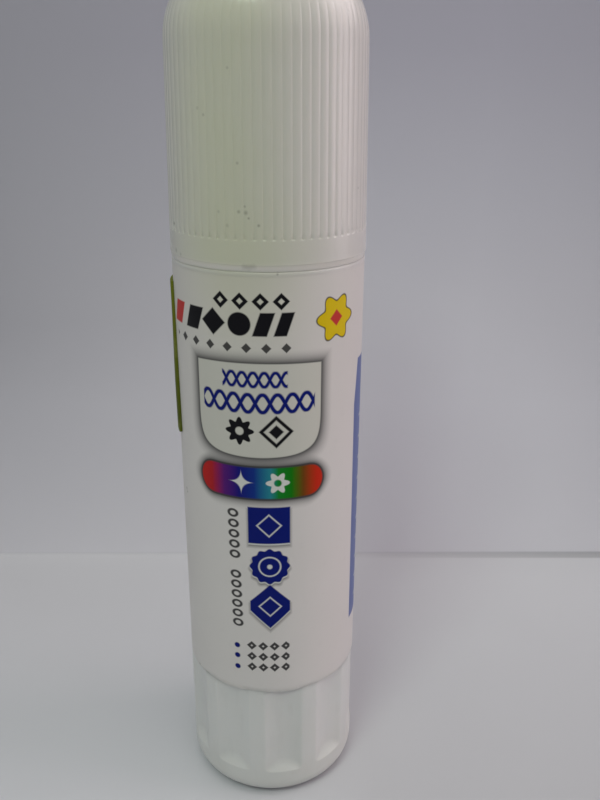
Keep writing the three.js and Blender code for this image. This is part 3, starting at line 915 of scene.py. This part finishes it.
@dataclass(frozen=True)
class LabelFilm:
    """The satin film of the label: its tone, painted darker and yellower towards the top as a colour cast of
    the room's light, its scratches and its print.
    """

    radius: float = 12.5
    high: Colour = (0.64, 0.625, 0.59)
    low: Colour = (0.665, 0.65, 0.62)
    scratches: tuple[Speck, ...] = (Speck(-68.5, 48.4, 0.3, 0.6), Speck(-67.2, 48.0, 0.24, 0.6))

    def shader(self) -> Shader:
        """Builds the material.

        Returns:
            The shader with all inks laid over the film.
        """
        made = Shader("label_film", IOR=1.5, Specular_IOR_Level=0.1)
        sheet = PrintSheet(made, self.radius)
        cloud = made.noise(0.08, 3.0)
        fine = made.noise(0.9, 3.0)
        # Painted colour cast: darker and yellower towards the top, and greener under the cap's edge.
        film = PAINTED_GREEN_CAST.lay(made, made.tint(sheet.z.ramp(50.0, 79.0), self.low, self.high))
        film = made.tint(cloud.ramp(0.35, 0.7) * 0.12, film, (0.52, 0.50, 0.48))
        film = made.tint(fine.ramp(0.6, 0.8) * 0.05, film, (0.35, 0.35, 0.33))
        art = LabelArt(sheet, film)
        art.lay_all()
        colour = art.colour
        for scratch in self.scratches:
            colour = scratch.lay(made, colour, self.radius)
        made.feed("Base Color", colour)
        made.feed("Roughness", cloud * 0.14 + 0.30)
        made.bump(made.noise(0.35, 2.0), 0.02, 0.5)
        return made


# Sub-assemblies


@dataclass
class Cap:
    """The pull-off cap: a reeded shell with a smooth band, a dome and stop fins inside."""

    low: float = 80.158
    top: float = 115.0
    radius: float = 12.635
    shoulder_radius: float = 12.25
    flat_radius: float = 2.6
    bore: float = 11.65
    dome_wall: float = 1.3
    reeds: int = 70
    reed_depth: float = 0.05
    reed_start: float = 3.51
    ledge: float = 0.26
    scoop: float = 1.6
    scoop_reach: float = 0.42
    lip_radius: float = 12.44
    lip_taper: float = 0.15
    lip_height: float = 0.76
    run_out: float = math.radians(26)
    fins: int = 6
    fin_thickness: float = 0.9
    fin_height: float = 0.7
    fin_length: float = 11.0
    stop_height: float = 92.3
    bead: float = 84.9

    @property
    def dome_radius(self) -> float:
        """Radius of the dome's round edge."""
        return self.shoulder_radius - self.flat_radius

    @property
    def dome_height(self) -> float:
        """Where the straight wall turns into the dome."""
        return self.top - self.dome_radius

    def reed_columns(self) -> tuple[np.ndarray, np.ndarray]:
        """Angles of the columns, and how deep each lies under the crest in a full groove.

        A reed rises gently on its left and falls steeply into the next groove on its right.

        Returns:
            Two arrays, one value for each column.
        """
        shares = np.array([-0.5, -0.45, -0.36, -0.24, -0.1, 0.1, 0.39, 0.42, 0.45, 0.475])
        rise = 1 - smooth_step(shares, -0.52, -0.08)
        fall = smooth_step(shares, 0.38, 0.5)
        drop = self.reed_depth * np.maximum(rise, fall)
        pitch = TURN / self.reeds
        angles = (np.arange(self.reeds)[:, None] + shares[None, :]) * pitch
        return angles.ravel(), np.tile(drop, self.reeds)

    def outside(self) -> tuple[np.ndarray, np.ndarray]:
        """Radii and heights of the outer rows.

        Returns:
            Two arrays of rows and columns, from the lower edge to the top.
        """
        drop = self.reed_columns()[1]
        start = self.low + self.reed_start
        seam = self.low + self.lip_height
        heights = [self.low + rise for rise in (0.0, 0.015, 0.03, 0.05, 0.1, 0.3)]
        heights += [seam + rise for rise in (-0.3, -0.1, -0.015, 0.015, 0.05, 0.1, 0.2)]
        heights += list(np.linspace(self.low + 1.7, start - 0.2, 4))
        heights += list(start + np.linspace(-0.08, self.ledge + 0.04, 10))
        heights += list(start + np.linspace(self.ledge + 0.12, 1.1, 8))
        heights += list(np.linspace(start + 2.0, self.dome_height, 13))
        over = np.linspace(0.5, math.pi / 2 - 0.02, 26)
        bends = np.concatenate([np.linspace(0.03, self.run_out, 12), over])
        straight = np.array(heights)
        lean = (straight - self.low) / (self.dome_height - self.low)
        wall = self.radius - (self.radius - self.shoulder_radius) * lean
        lip = self.lip_radius + self.lip_taper * (straight - self.low) / self.lip_height
        wall = np.where(straight < seam, np.minimum(wall, lip), wall)
        sunk = 1 + self.scoop * np.exp(-((straight - start - self.ledge) / self.scoop_reach) ** 2)
        depth = (smooth_step(straight, start, start + self.ledge) * sunk)[:, None] * drop[None, :]
        radii = wall[:, None] - depth
        dome = self.flat_radius + self.dome_radius * np.cos(bends)
        dome_heights = self.dome_height + self.dome_radius * np.sin(bends)
        fade = 1 - np.clip(bends / self.run_out, 0, 1) ** 2
        dome_radii = dome[:, None] - fade[:, None] * drop[None, :]
        every = np.concatenate([straight, dome_heights])[:, None]
        return np.concatenate([radii, dome_radii]), np.repeat(every, len(drop), axis=1)

    def build(self) -> bpy.types.Object:
        """Makes the shell.

        Returns:
            The cap, with its fins.
        """
        inner = self.dome_radius - self.dome_wall
        ceiling = [
            (self.flat_radius + inner * math.cos(bend), self.dome_height + inner * math.sin(bend))
            for bend in np.linspace(math.pi / 2, 0, 14)
        ]
        rim, bore, room = self.bore - 0.3, self.bore, self.bore + 0.15
        down = rounded(
            [
                (rim, self.dome_height - 1.0, 0), (rim, self.stop_height, 0.1), (bore, self.stop_height, 0.1),
                (bore, self.bead + 1.2, 0.2), (room, self.bead + 0.6, 0.2), (room, self.bead - 0.6, 0.2),
                (bore, self.bead - 1.2, 0.2), (bore, 80.6, 0.3), (bore + 0.2, self.low, 0.06),
            ],
            closed=False,
        )
        angles = self.reed_columns()[0]
        rows = [turned(ceiling + down, angles), rings(*self.outside(), angles)]
        skin = Skin("cap_shell").loft(np.concatenate(rows), poles=(self.dome_height + inner, self.top))
        low, high = self.stop_height, self.stop_height + self.fin_length
        outline = [(rim - self.fin_height, low), (bore, low), (bore, high), (rim - self.fin_height / 2, high)]
        for i in range(self.fins):
            skin.prism(outline, self.fin_thickness, TURN * i / self.fins + math.pi / 2)
        return skin.build()

    def dress(self) -> None:
        """Builds the cap and gives it its grubby ivory plastic, with painted colour casts and a painted
        highlight on the lip.
        """
        specks = (
            (-20.2, 102.1, 0.22, 0.28), (-39.0, 98.0, 0.26, 0.2), (-35.0, 97.3, 0.24, 0.3),
            (-15.8, 92.3, 0.24, 0.33), (-65.9, 84.7, 0.3, 0.7), (-15.5, 87.0, 0.28, 0.4),
            (-11.7, 86.9, 0.34, 0.4), (-12.2, 87.6, 0.2, 0.35), (-10.2, 86.3, 0.2, 0.5),
            (-5.0, 85.5, 0.24, 0.5), (-22.0, 85.4, 0.3, 0.22), (-27.0, 86.9, 0.26, 0.22),
            (-13.0, 80.75, 0.5, 0.22), (-10.5, 80.7, 0.55, 0.24), (-8.0, 80.8, 0.5, 0.2),
            (4.6, 80.1, 0.22, 0.6), (-64.0, 81.5, 0.4, 0.3), (-58.0, 81.2, 0.3, 0.25),
            (60.0, 89.0, 0.22, 0.3), (120.0, 95.0, 0.3, 0.3), (-120.0, 88.0, 0.3, 0.4),
            (165.0, 84.0, 0.35, 0.35),
        )
        # Painted light: two yellow-green painted colour casts on the front left, and a paler band round the
        # lip that is a painted highlight.
        patches = (
            (-24.0, 98.0, 34.0, 40.0, (0.585, 0.605, 0.445), 0.85),
            (-12.0, 82.0, 34.0, 7.0, (0.56, 0.575, 0.42), 0.5),
            (30.0, 80.5, 400.0, 0.42, (0.72, 0.70, 0.63), 0.85),
        )
        finish = MouldedPlastic(
            "cap_plastic", (0.62, 0.615, 0.575), (0.61, 0.605, 0.57), 0.23, (80.0, 112.0),
            tuple(PaintedLightPatch(*row) for row in patches), tuple(Speck(*row) for row in specks),
            speck_lean=0.0153,
        )
        mount(self.build(), finish.shader(), "cap", "cap_plastic", "cap")


@dataclass
class Barrel:
    """The tube with its neck, spigot, bearing and guide ribs, and what is stuck round it."""

    low: float = 19.8
    shoulder: float = 80.15
    mouth: float = 92.0
    radius: float = 12.5
    neck_radius: float = 11.35
    bore: float = 10.4
    lip: float = 0.6
    label_thickness: float = 0.2
    sticker_low: float = 56.6
    sticker_high: float = 77.0
    sticker_proud: float = 0.385
    floor_low: float = 20.4
    floor_top: float = 21.9
    spigot_low: float = 7.8
    spigot_radius: float = 10.4
    journal: float = 3.5
    bearing_radius: float = 5.0
    bearing_low: float = 15.9
    bead_above: float = 5.0
    bead_height: float = 0.15
    ribs: int = 4
    rib_height: float = 0.7
    rib_thickness: float = 1.2
    columns: int = 288

    def build(self) -> bpy.types.Object:
        """Makes the tube.

        Returns:
            The barrel, with its guide ribs.
        """
        recess = self.radius - self.label_thickness - 0.1
        lip_low, lip_high = self.low + self.lip, self.shoulder - self.lip
        snap, low = self.spigot_radius + 0.55, self.spigot_low
        spigot_bore = self.spigot_radius - 1.2
        bead, neck = self.shoulder + self.bead_above, self.neck_radius
        profile = rounded([
            (spigot_bore, low, 0.1), (self.spigot_radius - 0.2, low, 0.1), (snap, low + 1.7, 0.15),
            (snap, low + 2.3, 0.15), (self.spigot_radius, low + 2.6, 0.1),
            (self.spigot_radius, self.low, 0.1), (self.radius, self.low, 0.02),
            (self.radius, lip_low, 0.0), (recess, lip_low, 0.03),
            (recess, lip_high, 0.03), (self.radius, lip_high, 0.0), (self.radius, self.shoulder, 0.25),
            (neck, self.shoulder, 0.15), (neck, bead - 0.7, 0.3), (neck + self.bead_height, bead, 0.5),
            (neck, bead + 0.7, 0.3), (neck, self.mouth, 0.35), (self.bore, self.mouth, 0.35),
            (self.bore, self.floor_top, 0.3), (self.journal, self.floor_top, 0.1),
            (self.journal, self.bearing_low, 0.1), (self.bearing_radius, self.bearing_low, 0.15),
            (self.bearing_radius, self.floor_low, 0.2), (spigot_bore, self.floor_low, 0.2),
        ])
        skin = Skin("barrel_tube").loft(turned(profile, spread(self.columns)), loop=True)
        top, inner, root = self.mouth - 4.2, self.bore - self.rib_height, self.bore + 0.3
        outline = [(inner, self.floor_top), (root, self.floor_top), (root, top), (self.bore, top),
                   (inner, top - self.rib_height)]
        for i in range(self.ribs):
            skin.prism(outline, self.rib_thickness, TURN * (i + 0.5) / self.ribs)
        return skin.build()

    def label(self) -> bpy.types.Object:
        """Makes the label's thin sleeve, with its overlap at the back.

        Returns:
            The sleeve.
        """
        low, high = self.low + self.lip, self.shoulder - self.lip
        inner, outer = self.radius - self.label_thickness, self.radius
        corners = [(inner, low, 0.03), (outer, low, 0.0), (outer, high, 0.0), (inner, high, 0.03)]
        profile = np.array(rounded(corners, steps=3))
        angles = spread(360)
        overlap = smooth_step(angles, math.radians(176), math.radians(177))
        overlap = overlap * (1 - smooth_step(angles, math.radians(196), math.radians(199)))
        radii = profile[:, :1] + 0.05 * overlap * (profile[:, :1] > inner + 0.1)
        return Skin("label_sleeve").loft(rings(radii, profile[:, 1:], angles), loop=True).build()

    def sticker(self) -> bpy.types.Object:
        """Makes the price sticker: a curved sheet a little proud of the label, one edge cut aslant.

        Returns:
            The sheet.
        """
        rise = np.linspace(0, 1, 33)[:, None]
        heights = self.sticker_low + (self.sticker_high - self.sticker_low) * rise
        back, front = -math.radians(190.0), -np.radians(72.0 + 5.5 * rise)
        angles = back + (front - back) * np.linspace(0, 1, 90)
        ripple = 0.03 * np.sin(7 * rise + 5 * angles)
        outside = rings(self.radius + self.sticker_proud + ripple, heights, angles)
        inside = rings(self.radius + 0.02, heights, angles)[:, ::-1]
        wrapped = np.concatenate([outside, inside], axis=1)
        skin = Skin("price_sticker_sheet").loft(wrapped)
        width = wrapped.shape[1]
        last = (len(wrapped) - 1) * width
        for i in range(width // 2 - 1):
            j = width - 1 - i
            skin.faces.append((i + 1, i, j, j - 1))
            skin.faces.append((last + i, last + i + 1, last + j - 1, last + j))
        return skin.build()

    def dress(self) -> None:
        """Builds the tube, the label and the sticker and gives each its finish."""
        specks = (Speck(4.6, 79.9, 0.2, 0.5), Speck(-60.0, 19.95, 0.35, 0.4))
        # Painted colour cast: darker and yellower towards the top and greener under the cap's edge, as on the
        # label; painted shade along the bottom seam.
        plastic = MouldedPlastic(
            "white_plastic", (0.64, 0.625, 0.59), (0.66, 0.645, 0.61), 0.36, (20.0, 80.0),
            (PAINTED_GREEN_CAST,), specks, self.radius, seam=(self.low, 0.7),
        )
        mount(self.build(), plastic.shader(), "barrel", "white_plastic", "barrel")
        mount(self.label(), LabelFilm(self.radius).shader(), "barrel", "label_film", "label")
        mount(self.sticker(), StickerPaper().shader(), "barrel", "sticker_paper", "price_sticker")


@dataclass
class Knob:
    """The twist knob with its flutes, and the lead screw that it turns."""

    height: float = 19.79
    radius: float = 12.5
    toe: float = 3.1
    flutes: int = 10
    flute_depth: float = 0.63
    cutter: float = 11.25
    first_flute: float = math.radians(90 - 82.8)
    ledge_low: float = 4.9
    ledge_rise: float = 1.5
    bore: float = 10.7
    floor: float = 2.2
    socket_top: float = 13.5
    columns: int = 400

    def flute(self, angles: np.ndarray) -> np.ndarray:
        """How deep the flutes lie under the knob's rim.

        Args:
            angles: Angles from the front line.

        Returns:
            One depth for each angle.
        """
        pitch = TURN / self.flutes
        away = (angles - self.first_flute + pitch / 2) % pitch - pitch / 2
        reach = self.radius - self.flute_depth + self.cutter
        inside = np.clip(self.cutter**2 - (reach * np.sin(away)) ** 2, 0, None)
        cut = self.radius - (reach * np.cos(away) - np.sqrt(inside))
        return -soft_least(-cut, 0.0, 0.10)

    def build(self) -> bpy.types.Object:
        """Makes the fluted cup.

        Returns:
            The knob, with the socket for the screw.
        """
        angles = spread(self.columns)
        depth = np.clip(self.flute(angles), 0, None)
        toe = self.toe
        rows = [(self.radius - toe + toe * math.cos(bend), toe + toe * math.sin(bend), 0.0)
                for bend in np.linspace(-math.pi / 2, 0, 16)]
        rows += [(self.radius, height, 0.0) for height in (3.6, 4.0, 4.4)]
        for low, high, count in ((4.75, 7.0, 26), (7.5, 19.0, 10)):
            rows += [(self.radius, height, 1.0) for height in np.linspace(low, high, count)]
        edge = 0.04
        rows += [(self.radius - edge * (1 - math.cos(b)), self.height - edge * (1 - math.sin(b)), 1.0)
                 for b in np.linspace(0, math.pi / 2, 5)]
        table = np.array(rows)
        room = (table[:, 1:2] - self.ledge_low) * self.flute_depth / self.ledge_rise
        cut = soft_least(depth[None, :], np.clip(room, 0, 9), 0.3)
        radii = table[:, :1] - np.clip(cut, 0, None) * table[:, 2:]
        bore, groove, socket = self.bore, self.bore + 0.55, 4.6
        down = rounded([
            (bore + 0.25, self.height, 0.1), (bore, self.height - 0.3, 0.1), (bore, 11.0, 0.2),
            (groove, 10.4, 0.15), (groove, 9.2, 0.15), (bore, 8.6, 0.2), (bore, self.floor, 0.6),
            (socket, self.floor, 0.3), (socket, self.socket_top, 0.15), (3.2, self.socket_top, 0.1),
            (3.2, self.floor + 0.1, 0.1),
        ], closed=False)
        cup = np.concatenate([rings(radii, table[:, 1:2], angles), turned(down, angles)])
        return Skin("knob_cup").loft(cup, poles=(0.0, self.floor)).build(28.0)

    def dress(self) -> None:
        """Builds the knob and the screw and gives each its finish."""
        specks = (Speck(-59.0, 18.6, 0.35, 0.5), Speck(-62.0, 19.2, 0.3, 0.4), Speck(20.0, 2.0, 0.3, 0.3))
        # A row of soft dark specks along the knob's top edge at the front: painted shade that widens the
        # seam's shadow line.
        specks += tuple(Speck(-5.0 + 2.6 * i, 19.62, 0.55, 0.16 + 0.02 * i) for i in range(7))
        # Darker towards the toe: painted shade; the seam at the knob's top carries painted shade too.
        plastic = MouldedPlastic(
            "knob_plastic", (0.665, 0.68, 0.655), (0.625, 0.635, 0.595), 0.34, (0.0, 8.0),
            specks=specks, speck_radius=self.radius, seam=(self.height, 1.0),
        )
        mount(self.build(), plastic.shader(), "knob", "knob_plastic", "knob")
        natural = NaturalPlastic("natural_plastic_screw", (0.66, 0.66, 0.60))
        mount(LeadScrew().build(), natural.shader(), "knob", "natural_plastic", "spindle")


@dataclass
class LeadScrew:
    """The coarse left-handed screw with its collar and hexagon shank."""

    radius: float = 3.2
    depth: float = 0.75
    pitch: float = 4.0
    crest: float = 1.0
    flank: float = 0.5
    start: float = 19.8
    low: float = 21.9
    top: float = 87.4
    shank: float = 2.9
    columns: int = 72

    def thread_radius(
        self, heights: np.ndarray, angles: np.ndarray, clearance: float = 0.0
    ) -> np.ndarray:
        """The thread's radius at each height and angle.

        Args:
            heights: Heights, one row each.
            angles: Angles from the front line, one column each.
            clearance: How much wider the nut is than the screw.

        Returns:
            An array of rows and columns.
        """
        lead = self.pitch * ((angles - math.pi / 2) / TURN)
        along = (heights[:, None] - self.start + lead[None, :]) % self.pitch
        side = 0.3 if clearance > 0 else 0.0
        rise = smooth_step(along, -side, self.flank - side)
        fall = smooth_step(along, self.flank + self.crest + side, 2 * self.flank + self.crest + side)
        early = smooth_step(along, self.pitch - side, self.pitch - side + self.flank)
        return self.radius - self.depth + clearance + self.depth * np.maximum(rise - fall, early)

    def build(self) -> bpy.types.Object:
        """Makes the screw.

        Returns:
            The hexagon shank, the collar and the thread, in one.
        """
        angles = spread(self.columns)
        sixth = math.pi / 3
        hexagon = self.shank * math.cos(sixth / 2) / np.cos((angles + sixth / 2) % sixth - sixth / 2)
        shank = np.array([(0.93, 2.5), (1.0, 2.75), (1.0, 13.8)])
        collar = [(5.05, 13.8), (5.2, 13.95), (5.2, 15.45), (5.05, 15.6), (3.2, 15.6), (3.2, self.low - 0.1)]
        heights = np.arange(self.low, self.top - 0.5, 0.16)
        radii = self.thread_radius(heights, angles)
        tip = smooth_step(heights, self.top - 2.6, self.top - 1.0)[:, None]
        radii = radii * (1 - tip) + np.minimum(radii, self.radius - self.depth) * tip
        rows = [
            rings(hexagon * shank[:, :1], shank[:, 1:], angles),
            turned(collar, angles),
            rings(radii, heights[:, None], angles),
            turned([(2.4, self.top - 0.25), (2.2, self.top - 0.03)], angles),
        ]
        return Skin("lead_screw").loft(np.concatenate(rows), poles=(2.5, self.top)).build(40.0)


@dataclass
class Carrier:
    """The cup that carries the glue up the screw, and the glue in it."""

    low: float = 22.2
    rim: float = 29.2
    nut_top: float = 30.2
    radius: float = 10.1
    cup: float = 8.9
    nut: float = 5.25
    floor: float = 23.7
    glue_top: float = 47.9
    glue_radius: float = 8.7
    glue_bore: float = 3.55
    glue_edge: float = 1.6
    notch_radius: float = 9.4
    notch_half: float = 0.9
    columns: int = 288

    def build(self) -> bpy.types.Object:
        """Makes the cup with its notches and its threaded nut.

        Returns:
            The cup.
        """
        angles = spread(self.columns)
        shape = np.array(rounded([
            (3.6, self.low, 0.1), (self.radius, self.low, 0.2), (self.radius, self.rim, 0.25),
            (self.cup, self.rim, 0.25), (self.cup, self.floor, 0.3), (self.nut, self.floor, 0.3),
            (self.nut, self.nut_top, 0.2), (3.6, self.nut_top, 0.1),
        ], closed=False))
        quarter = math.pi / 2
        away = np.abs(angles % quarter - quarter / 2)
        notch = np.where(away * self.radius < self.notch_half, self.notch_radius, self.radius)
        radii = np.minimum(shape[:, :1], notch[None, :])
        radii = np.where(shape[:, :1] > self.cup + 0.4, radii, shape[:, :1])
        heights = np.arange(self.nut_top - 0.15, self.low + 0.1, -0.2)
        bore = rings(LeadScrew().thread_radius(heights, angles, 0.35), heights[:, None], angles)
        rows = np.concatenate([rings(radii, shape[:, 1:], angles), bore])
        return Skin("carrier_cup").loft(rows, loop=True).build(40.0)

    def glue(self) -> bpy.types.Object:
        """Makes the stick of glue, its top worn into a shallow smeared dome.

        Returns:
            The glue.
        """
        angles = spread(self.columns)
        hub, low, high = self.nut + 0.2, self.floor + 0.2, self.nut_top + 0.2
        radius, top = self.glue_radius, self.glue_top
        edge = top - 0.7 - self.glue_edge
        wall = [(hub, low), (radius - 0.2, low), (radius, low + 0.2)]
        wall += [(radius, height) for height in np.linspace(26.0, 44.5, 14)]
        wall += [(radius - self.glue_edge * (1 - math.cos(b)), edge + self.glue_edge * math.sin(b))
                 for b in np.linspace(0.1, 1.45, 8)]
        wall += [(r, top - 0.75 + 0.7 * (1 - (r / 7.1) ** 2) / 0.75) for r in np.linspace(6.8, 3.7, 9)]
        wall += [(self.glue_bore, top - 0.25), (self.glue_bore, high), (hub, high)]
        shape = np.array(wall)
        heights = np.minimum(np.repeat(shape[:, 1:], self.columns, axis=1), top)
        worn = smooth_step(heights, edge - 1.0, top - 0.6)
        smear = 0.10 * np.sin(2 * angles + 0.7) + 0.06 * np.sin(5 * angles + 2.0)
        smear = smear[None, :] + 0.05 * np.sin(3.0 * shape[:, :1] + 3 * angles[None, :])
        heights = heights - worn * (0.16 + smear * 0.8)
        radii = shape[:, :1] - 0.05 * worn * (1 + np.sin(3 * angles + 1.0))[None, :]
        return Skin("glue_column").loft(rings(radii, heights, angles), loop=True).build(50.0)

    def dress(self) -> None:
        """Builds the carrier and the glue and gives each its finish."""
        natural = NaturalPlastic("natural_plastic_carrier", (0.66, 0.66, 0.60))
        mount(self.build(), natural.shader(), "carrier", "natural_plastic", "carrier")
        mount(self.glue(), GlueWax().shader(), "carrier", "glue", "glue")


# What stands round the stick


@dataclass
class Stage:
    """The paper under and behind the stick, the table beyond it and the world's light."""

    wall: float = 55.9
    bend: float = 0.8
    turn: float = 1.8
    wall_height: float = 150.0
    half_width: float = 260.0
    front: float = 500.0
    paper: Colour = (0.61, 0.61, 0.635)
    # The floor in front painted lighter on the left and darker on the right: painted light and shade.
    front_left: Colour = (0.67, 0.68, 0.71)
    front_right: Colour = (0.52, 0.525, 0.545)
    # Painted shade towards the wall's sides; also the colour of the paper's mottle.
    painted_shade_and_mottle: Colour = (0.34, 0.34, 0.37)
    # Painted shade: the wall's colour by height, darker and bluer the higher it goes.
    painted_wall_shade: tuple[tuple[float, Colour], ...] = (
        (0.04, (0.82, 0.81, 0.85)), (0.25, (0.83, 0.82, 0.87)), (0.40, (0.74, 0.73, 0.78)),
        (0.55, (0.615, 0.61, 0.67)), (0.72, (0.485, 0.475, 0.545)), (1.00, (0.38, 0.37, 0.44)),
    )
    sky: Colour = (0.262, 0.250, 0.272)
    backdrop: Colour = (0.44, 0.44, 0.455)

    def sweep(self) -> bpy.types.Object:
        """Makes the floor that turns up into a low wall behind the stick.

        Returns:
            The sheet of paper.
        """
        bends = np.linspace(0, math.pi / 2, 13)
        line = [(-self.front, 0.0), (-120.0, 0.0), (0.0, 0.0), (self.wall - self.bend - 4, 0.0)]
        line += [(self.wall - self.bend + self.bend * math.sin(b), self.bend - self.bend * math.cos(b))
                 for b in bends]
        line += [(self.wall, height) for height in (30.0, 70.0, 110.0, self.wall_height)]
        across = np.linspace(-self.half_width, self.half_width, 9)
        rows = np.array([[(x, y, z) for x in across] for y, z in line])
        made = Skin("paper_sweep").loft(rows, ring=False).build(60.0)
        made.rotation_euler = (0.0, 0.0, -math.radians(self.turn))
        return made

    def table(self) -> bpy.types.Object:
        """Makes the plain table that carries on behind the sweep.

        Returns:
            The table's top.
        """
        across = np.linspace(-600.0, 600.0, 5)
        rows = np.array([[(x, y, -0.3) for x in across] for y in np.linspace(-600.0, 700.0, 5)])
        return Skin("table_top").loft(rows, ring=False).build()

    def paper_shader(self) -> Shader:
        """Builds the sweep's paper, unseen from behind, with painted shade darker and bluer up the wall and
        towards its sides, painted light and shade across the floor in front, and a painted shade line in the
        crease.

        Returns:
            The shader, mixed with a clear one for the wall's back.
        """
        made = Shader("sweep_paper", Roughness=0.75)
        cloud = made.noise(0.012, 3.0)
        climb = made.z.ramp(0.0, self.wall_height)
        # Painted shade up the wall.
        wall = made.node("ShaderNodeValToRGB", {"stops": self.painted_wall_shade}, {0: climb})
        # Painted light and shade across the floor in front of the wall.
        near = made.tint(made.x.ramp(-12.0, 16.0), self.front_left, self.front_right)
        floor = made.tint(made.y.ramp(45.0, -12.0), self.paper, near)
        colour = made.tint(made.z.ramp(0.2, 1.0), floor, wall)
        # Painted shade, darker towards the sides and up the wall.
        painted_side_shade = made.x.ramp(8.0, -62.0) * 0.76 + made.x.ramp(40.0, 85.0) * 0.45
        colour = made.tint(painted_side_shade * made.z.ramp(-15.0, 55.0), colour, self.painted_shade_and_mottle)
        colour = made.tint(cloud.ramp(0.4, 0.7) * 0.10, colour, self.painted_shade_and_mottle)
        # Painted shade: a dark line in the crease where the floor meets the wall, on the right.
        painted_crease_shade = made.z.ramp(1.2, 0.6) * made.z.ramp(-0.2, -0.1)
        painted_crease_shade = painted_crease_shade * made.y.ramp(self.wall - 1.5, self.wall - 0.9)
        colour = made.tint(painted_crease_shade * made.x.ramp(12.0, 75.0) * 0.4, colour, (0.12, 0.12, 0.13))
        made.feed("Base Color", colour)
        made.bump(made.noise(0.6, 4.0), 0.03, 0.4)
        path = made.node("ShaderNodeLightPath", output="Is Camera Ray")
        back = made.node("ShaderNodeNewGeometry", output="Backfacing")
        clear = made.node("ShaderNodeBsdfTransparent")
        solid = Wire(made, made.surface.outputs[0])
        mixed = made.node("ShaderNodeMixShader", {}, {0: path * back, 1: solid, 2: clear})
        made.show(mixed, "Material Output")
        return made

    def world(self) -> None:
        """Sets the world: an even soft light, seen as the pale backdrop colour."""
        world = bpy.data.worlds.new("room")
        bpy.context.scene.world = world
        world.use_nodes = True
        graph = Graph(world.node_tree)
        ray = graph.node("ShaderNodeLightPath", output="Is Camera Ray")
        share = ray
        for name in ("Is Glossy Ray", "Is Transmission Ray"):
            share = share.most(graph.output_of(ray, name))
        light, seen = (
            graph.node("ShaderNodeBackground", {}, {"Color": (*colour, 1.0)})
            for colour in (self.sky, self.backdrop)
        )
        graph.show(graph.node("ShaderNodeMixShader", {}, {0: share, 1: light, 2: seen}), "World Output")

    def build(self) -> None:
        sweep, table = self.sweep(), self.table()
        paper = self.paper_shader().material
        for sheet in (sweep, table):
            sheet.data.materials.append(paper)
        self.world()
        logger.info("stage: %s, %s", sweep.name, table.name)


@dataclass(frozen=True)
class SoftLamp:
    """A flat square lamp that looks at the stick from a direction.

    The direction is an angle from the front line, to the right, and a height above the table, in degrees.
    """

    name: str
    angle: float
    rise: float
    size: float
    power: float
    colour: Colour
    distance: float = 920.0
    aim: float = 60.0

    def build(self) -> None:
        """Makes the lamp."""
        data = bpy.data.lights.new(self.name, "AREA")
        data.shape = "SQUARE"
        data.size = self.size * MM
        data.energy = self.power
        data.color = self.colour
        lamp = bpy.data.objects.new(self.name, data)
        angle, rise = math.radians(self.angle), math.radians(self.rise)
        out, up = self.distance * math.cos(rise), self.distance * math.sin(rise)
        place = (out * math.sin(angle), -out * math.cos(angle), up + self.aim)
        lamp.location = [value * MM for value in place]
        lamp.rotation_euler = (math.pi / 2 - rise, 0, angle)
        bpy.context.scene.collection.objects.link(lamp)


@dataclass
class Viewpoint:
    """The camera, where the photograph was taken from."""

    place: tuple[float, float, float] = (0.0, -105.03, 99.54)
    pitch: float = 20.839
    yaw: float = 2.279
    roll: float = 0.25
    lens: float = 36.23

    def build(self) -> None:
        """Makes the camera and sets it as the scene's own."""
        data = bpy.data.cameras.new("camera")
        data.sensor_fit = "VERTICAL"
        data.sensor_width = data.sensor_height = 36.0
        data.lens = self.lens
        data.clip_start = 0.005
        data.clip_end = 20.0
        camera = bpy.data.objects.new("camera", data)
        camera.location = [value * MM for value in self.place]
        aim = Euler((math.radians(90 - self.pitch), 0, -math.radians(self.yaw))).to_matrix()
        aim = aim @ Matrix.Rotation(math.radians(self.roll), 3, "Z")
        camera.rotation_euler = aim.to_euler()
        bpy.context.scene.collection.objects.link(camera)
        bpy.context.scene.camera = camera


LAMPS = (
    SoftLamp("window_right", 100.0, 16.0, 960.0, 7.0, (1.0, 0.82, 0.865)),
    SoftLamp("window_glint", 94.0, 34.0, 110.0, 0.12, (1.0, 0.94, 0.94)),
    SoftLamp("ceiling_left", -27.0, 54.0, 260.0, 1.92, (0.84, 0.99, 0.86)),
    SoftLamp("ceiling_front", 20.0, 75.0, 660.0, 2.35, (1.0, 0.96, 0.90)),
)


def main() -> None:
    """Builds the camera, the stage, the lamps and each sub-assembly."""
    logging.basicConfig(level=logging.INFO, format="%(name)s %(message)s")
    bpy.context.scene.view_settings.view_transform = "Standard"
    Viewpoint().build()
    Stage().build()
    for lamp in LAMPS:
        lamp.build()
    for assembly in (Cap(), Barrel(), Knob(), Carrier()):
        assembly.dress()


if __name__ == "__main__":
    main()
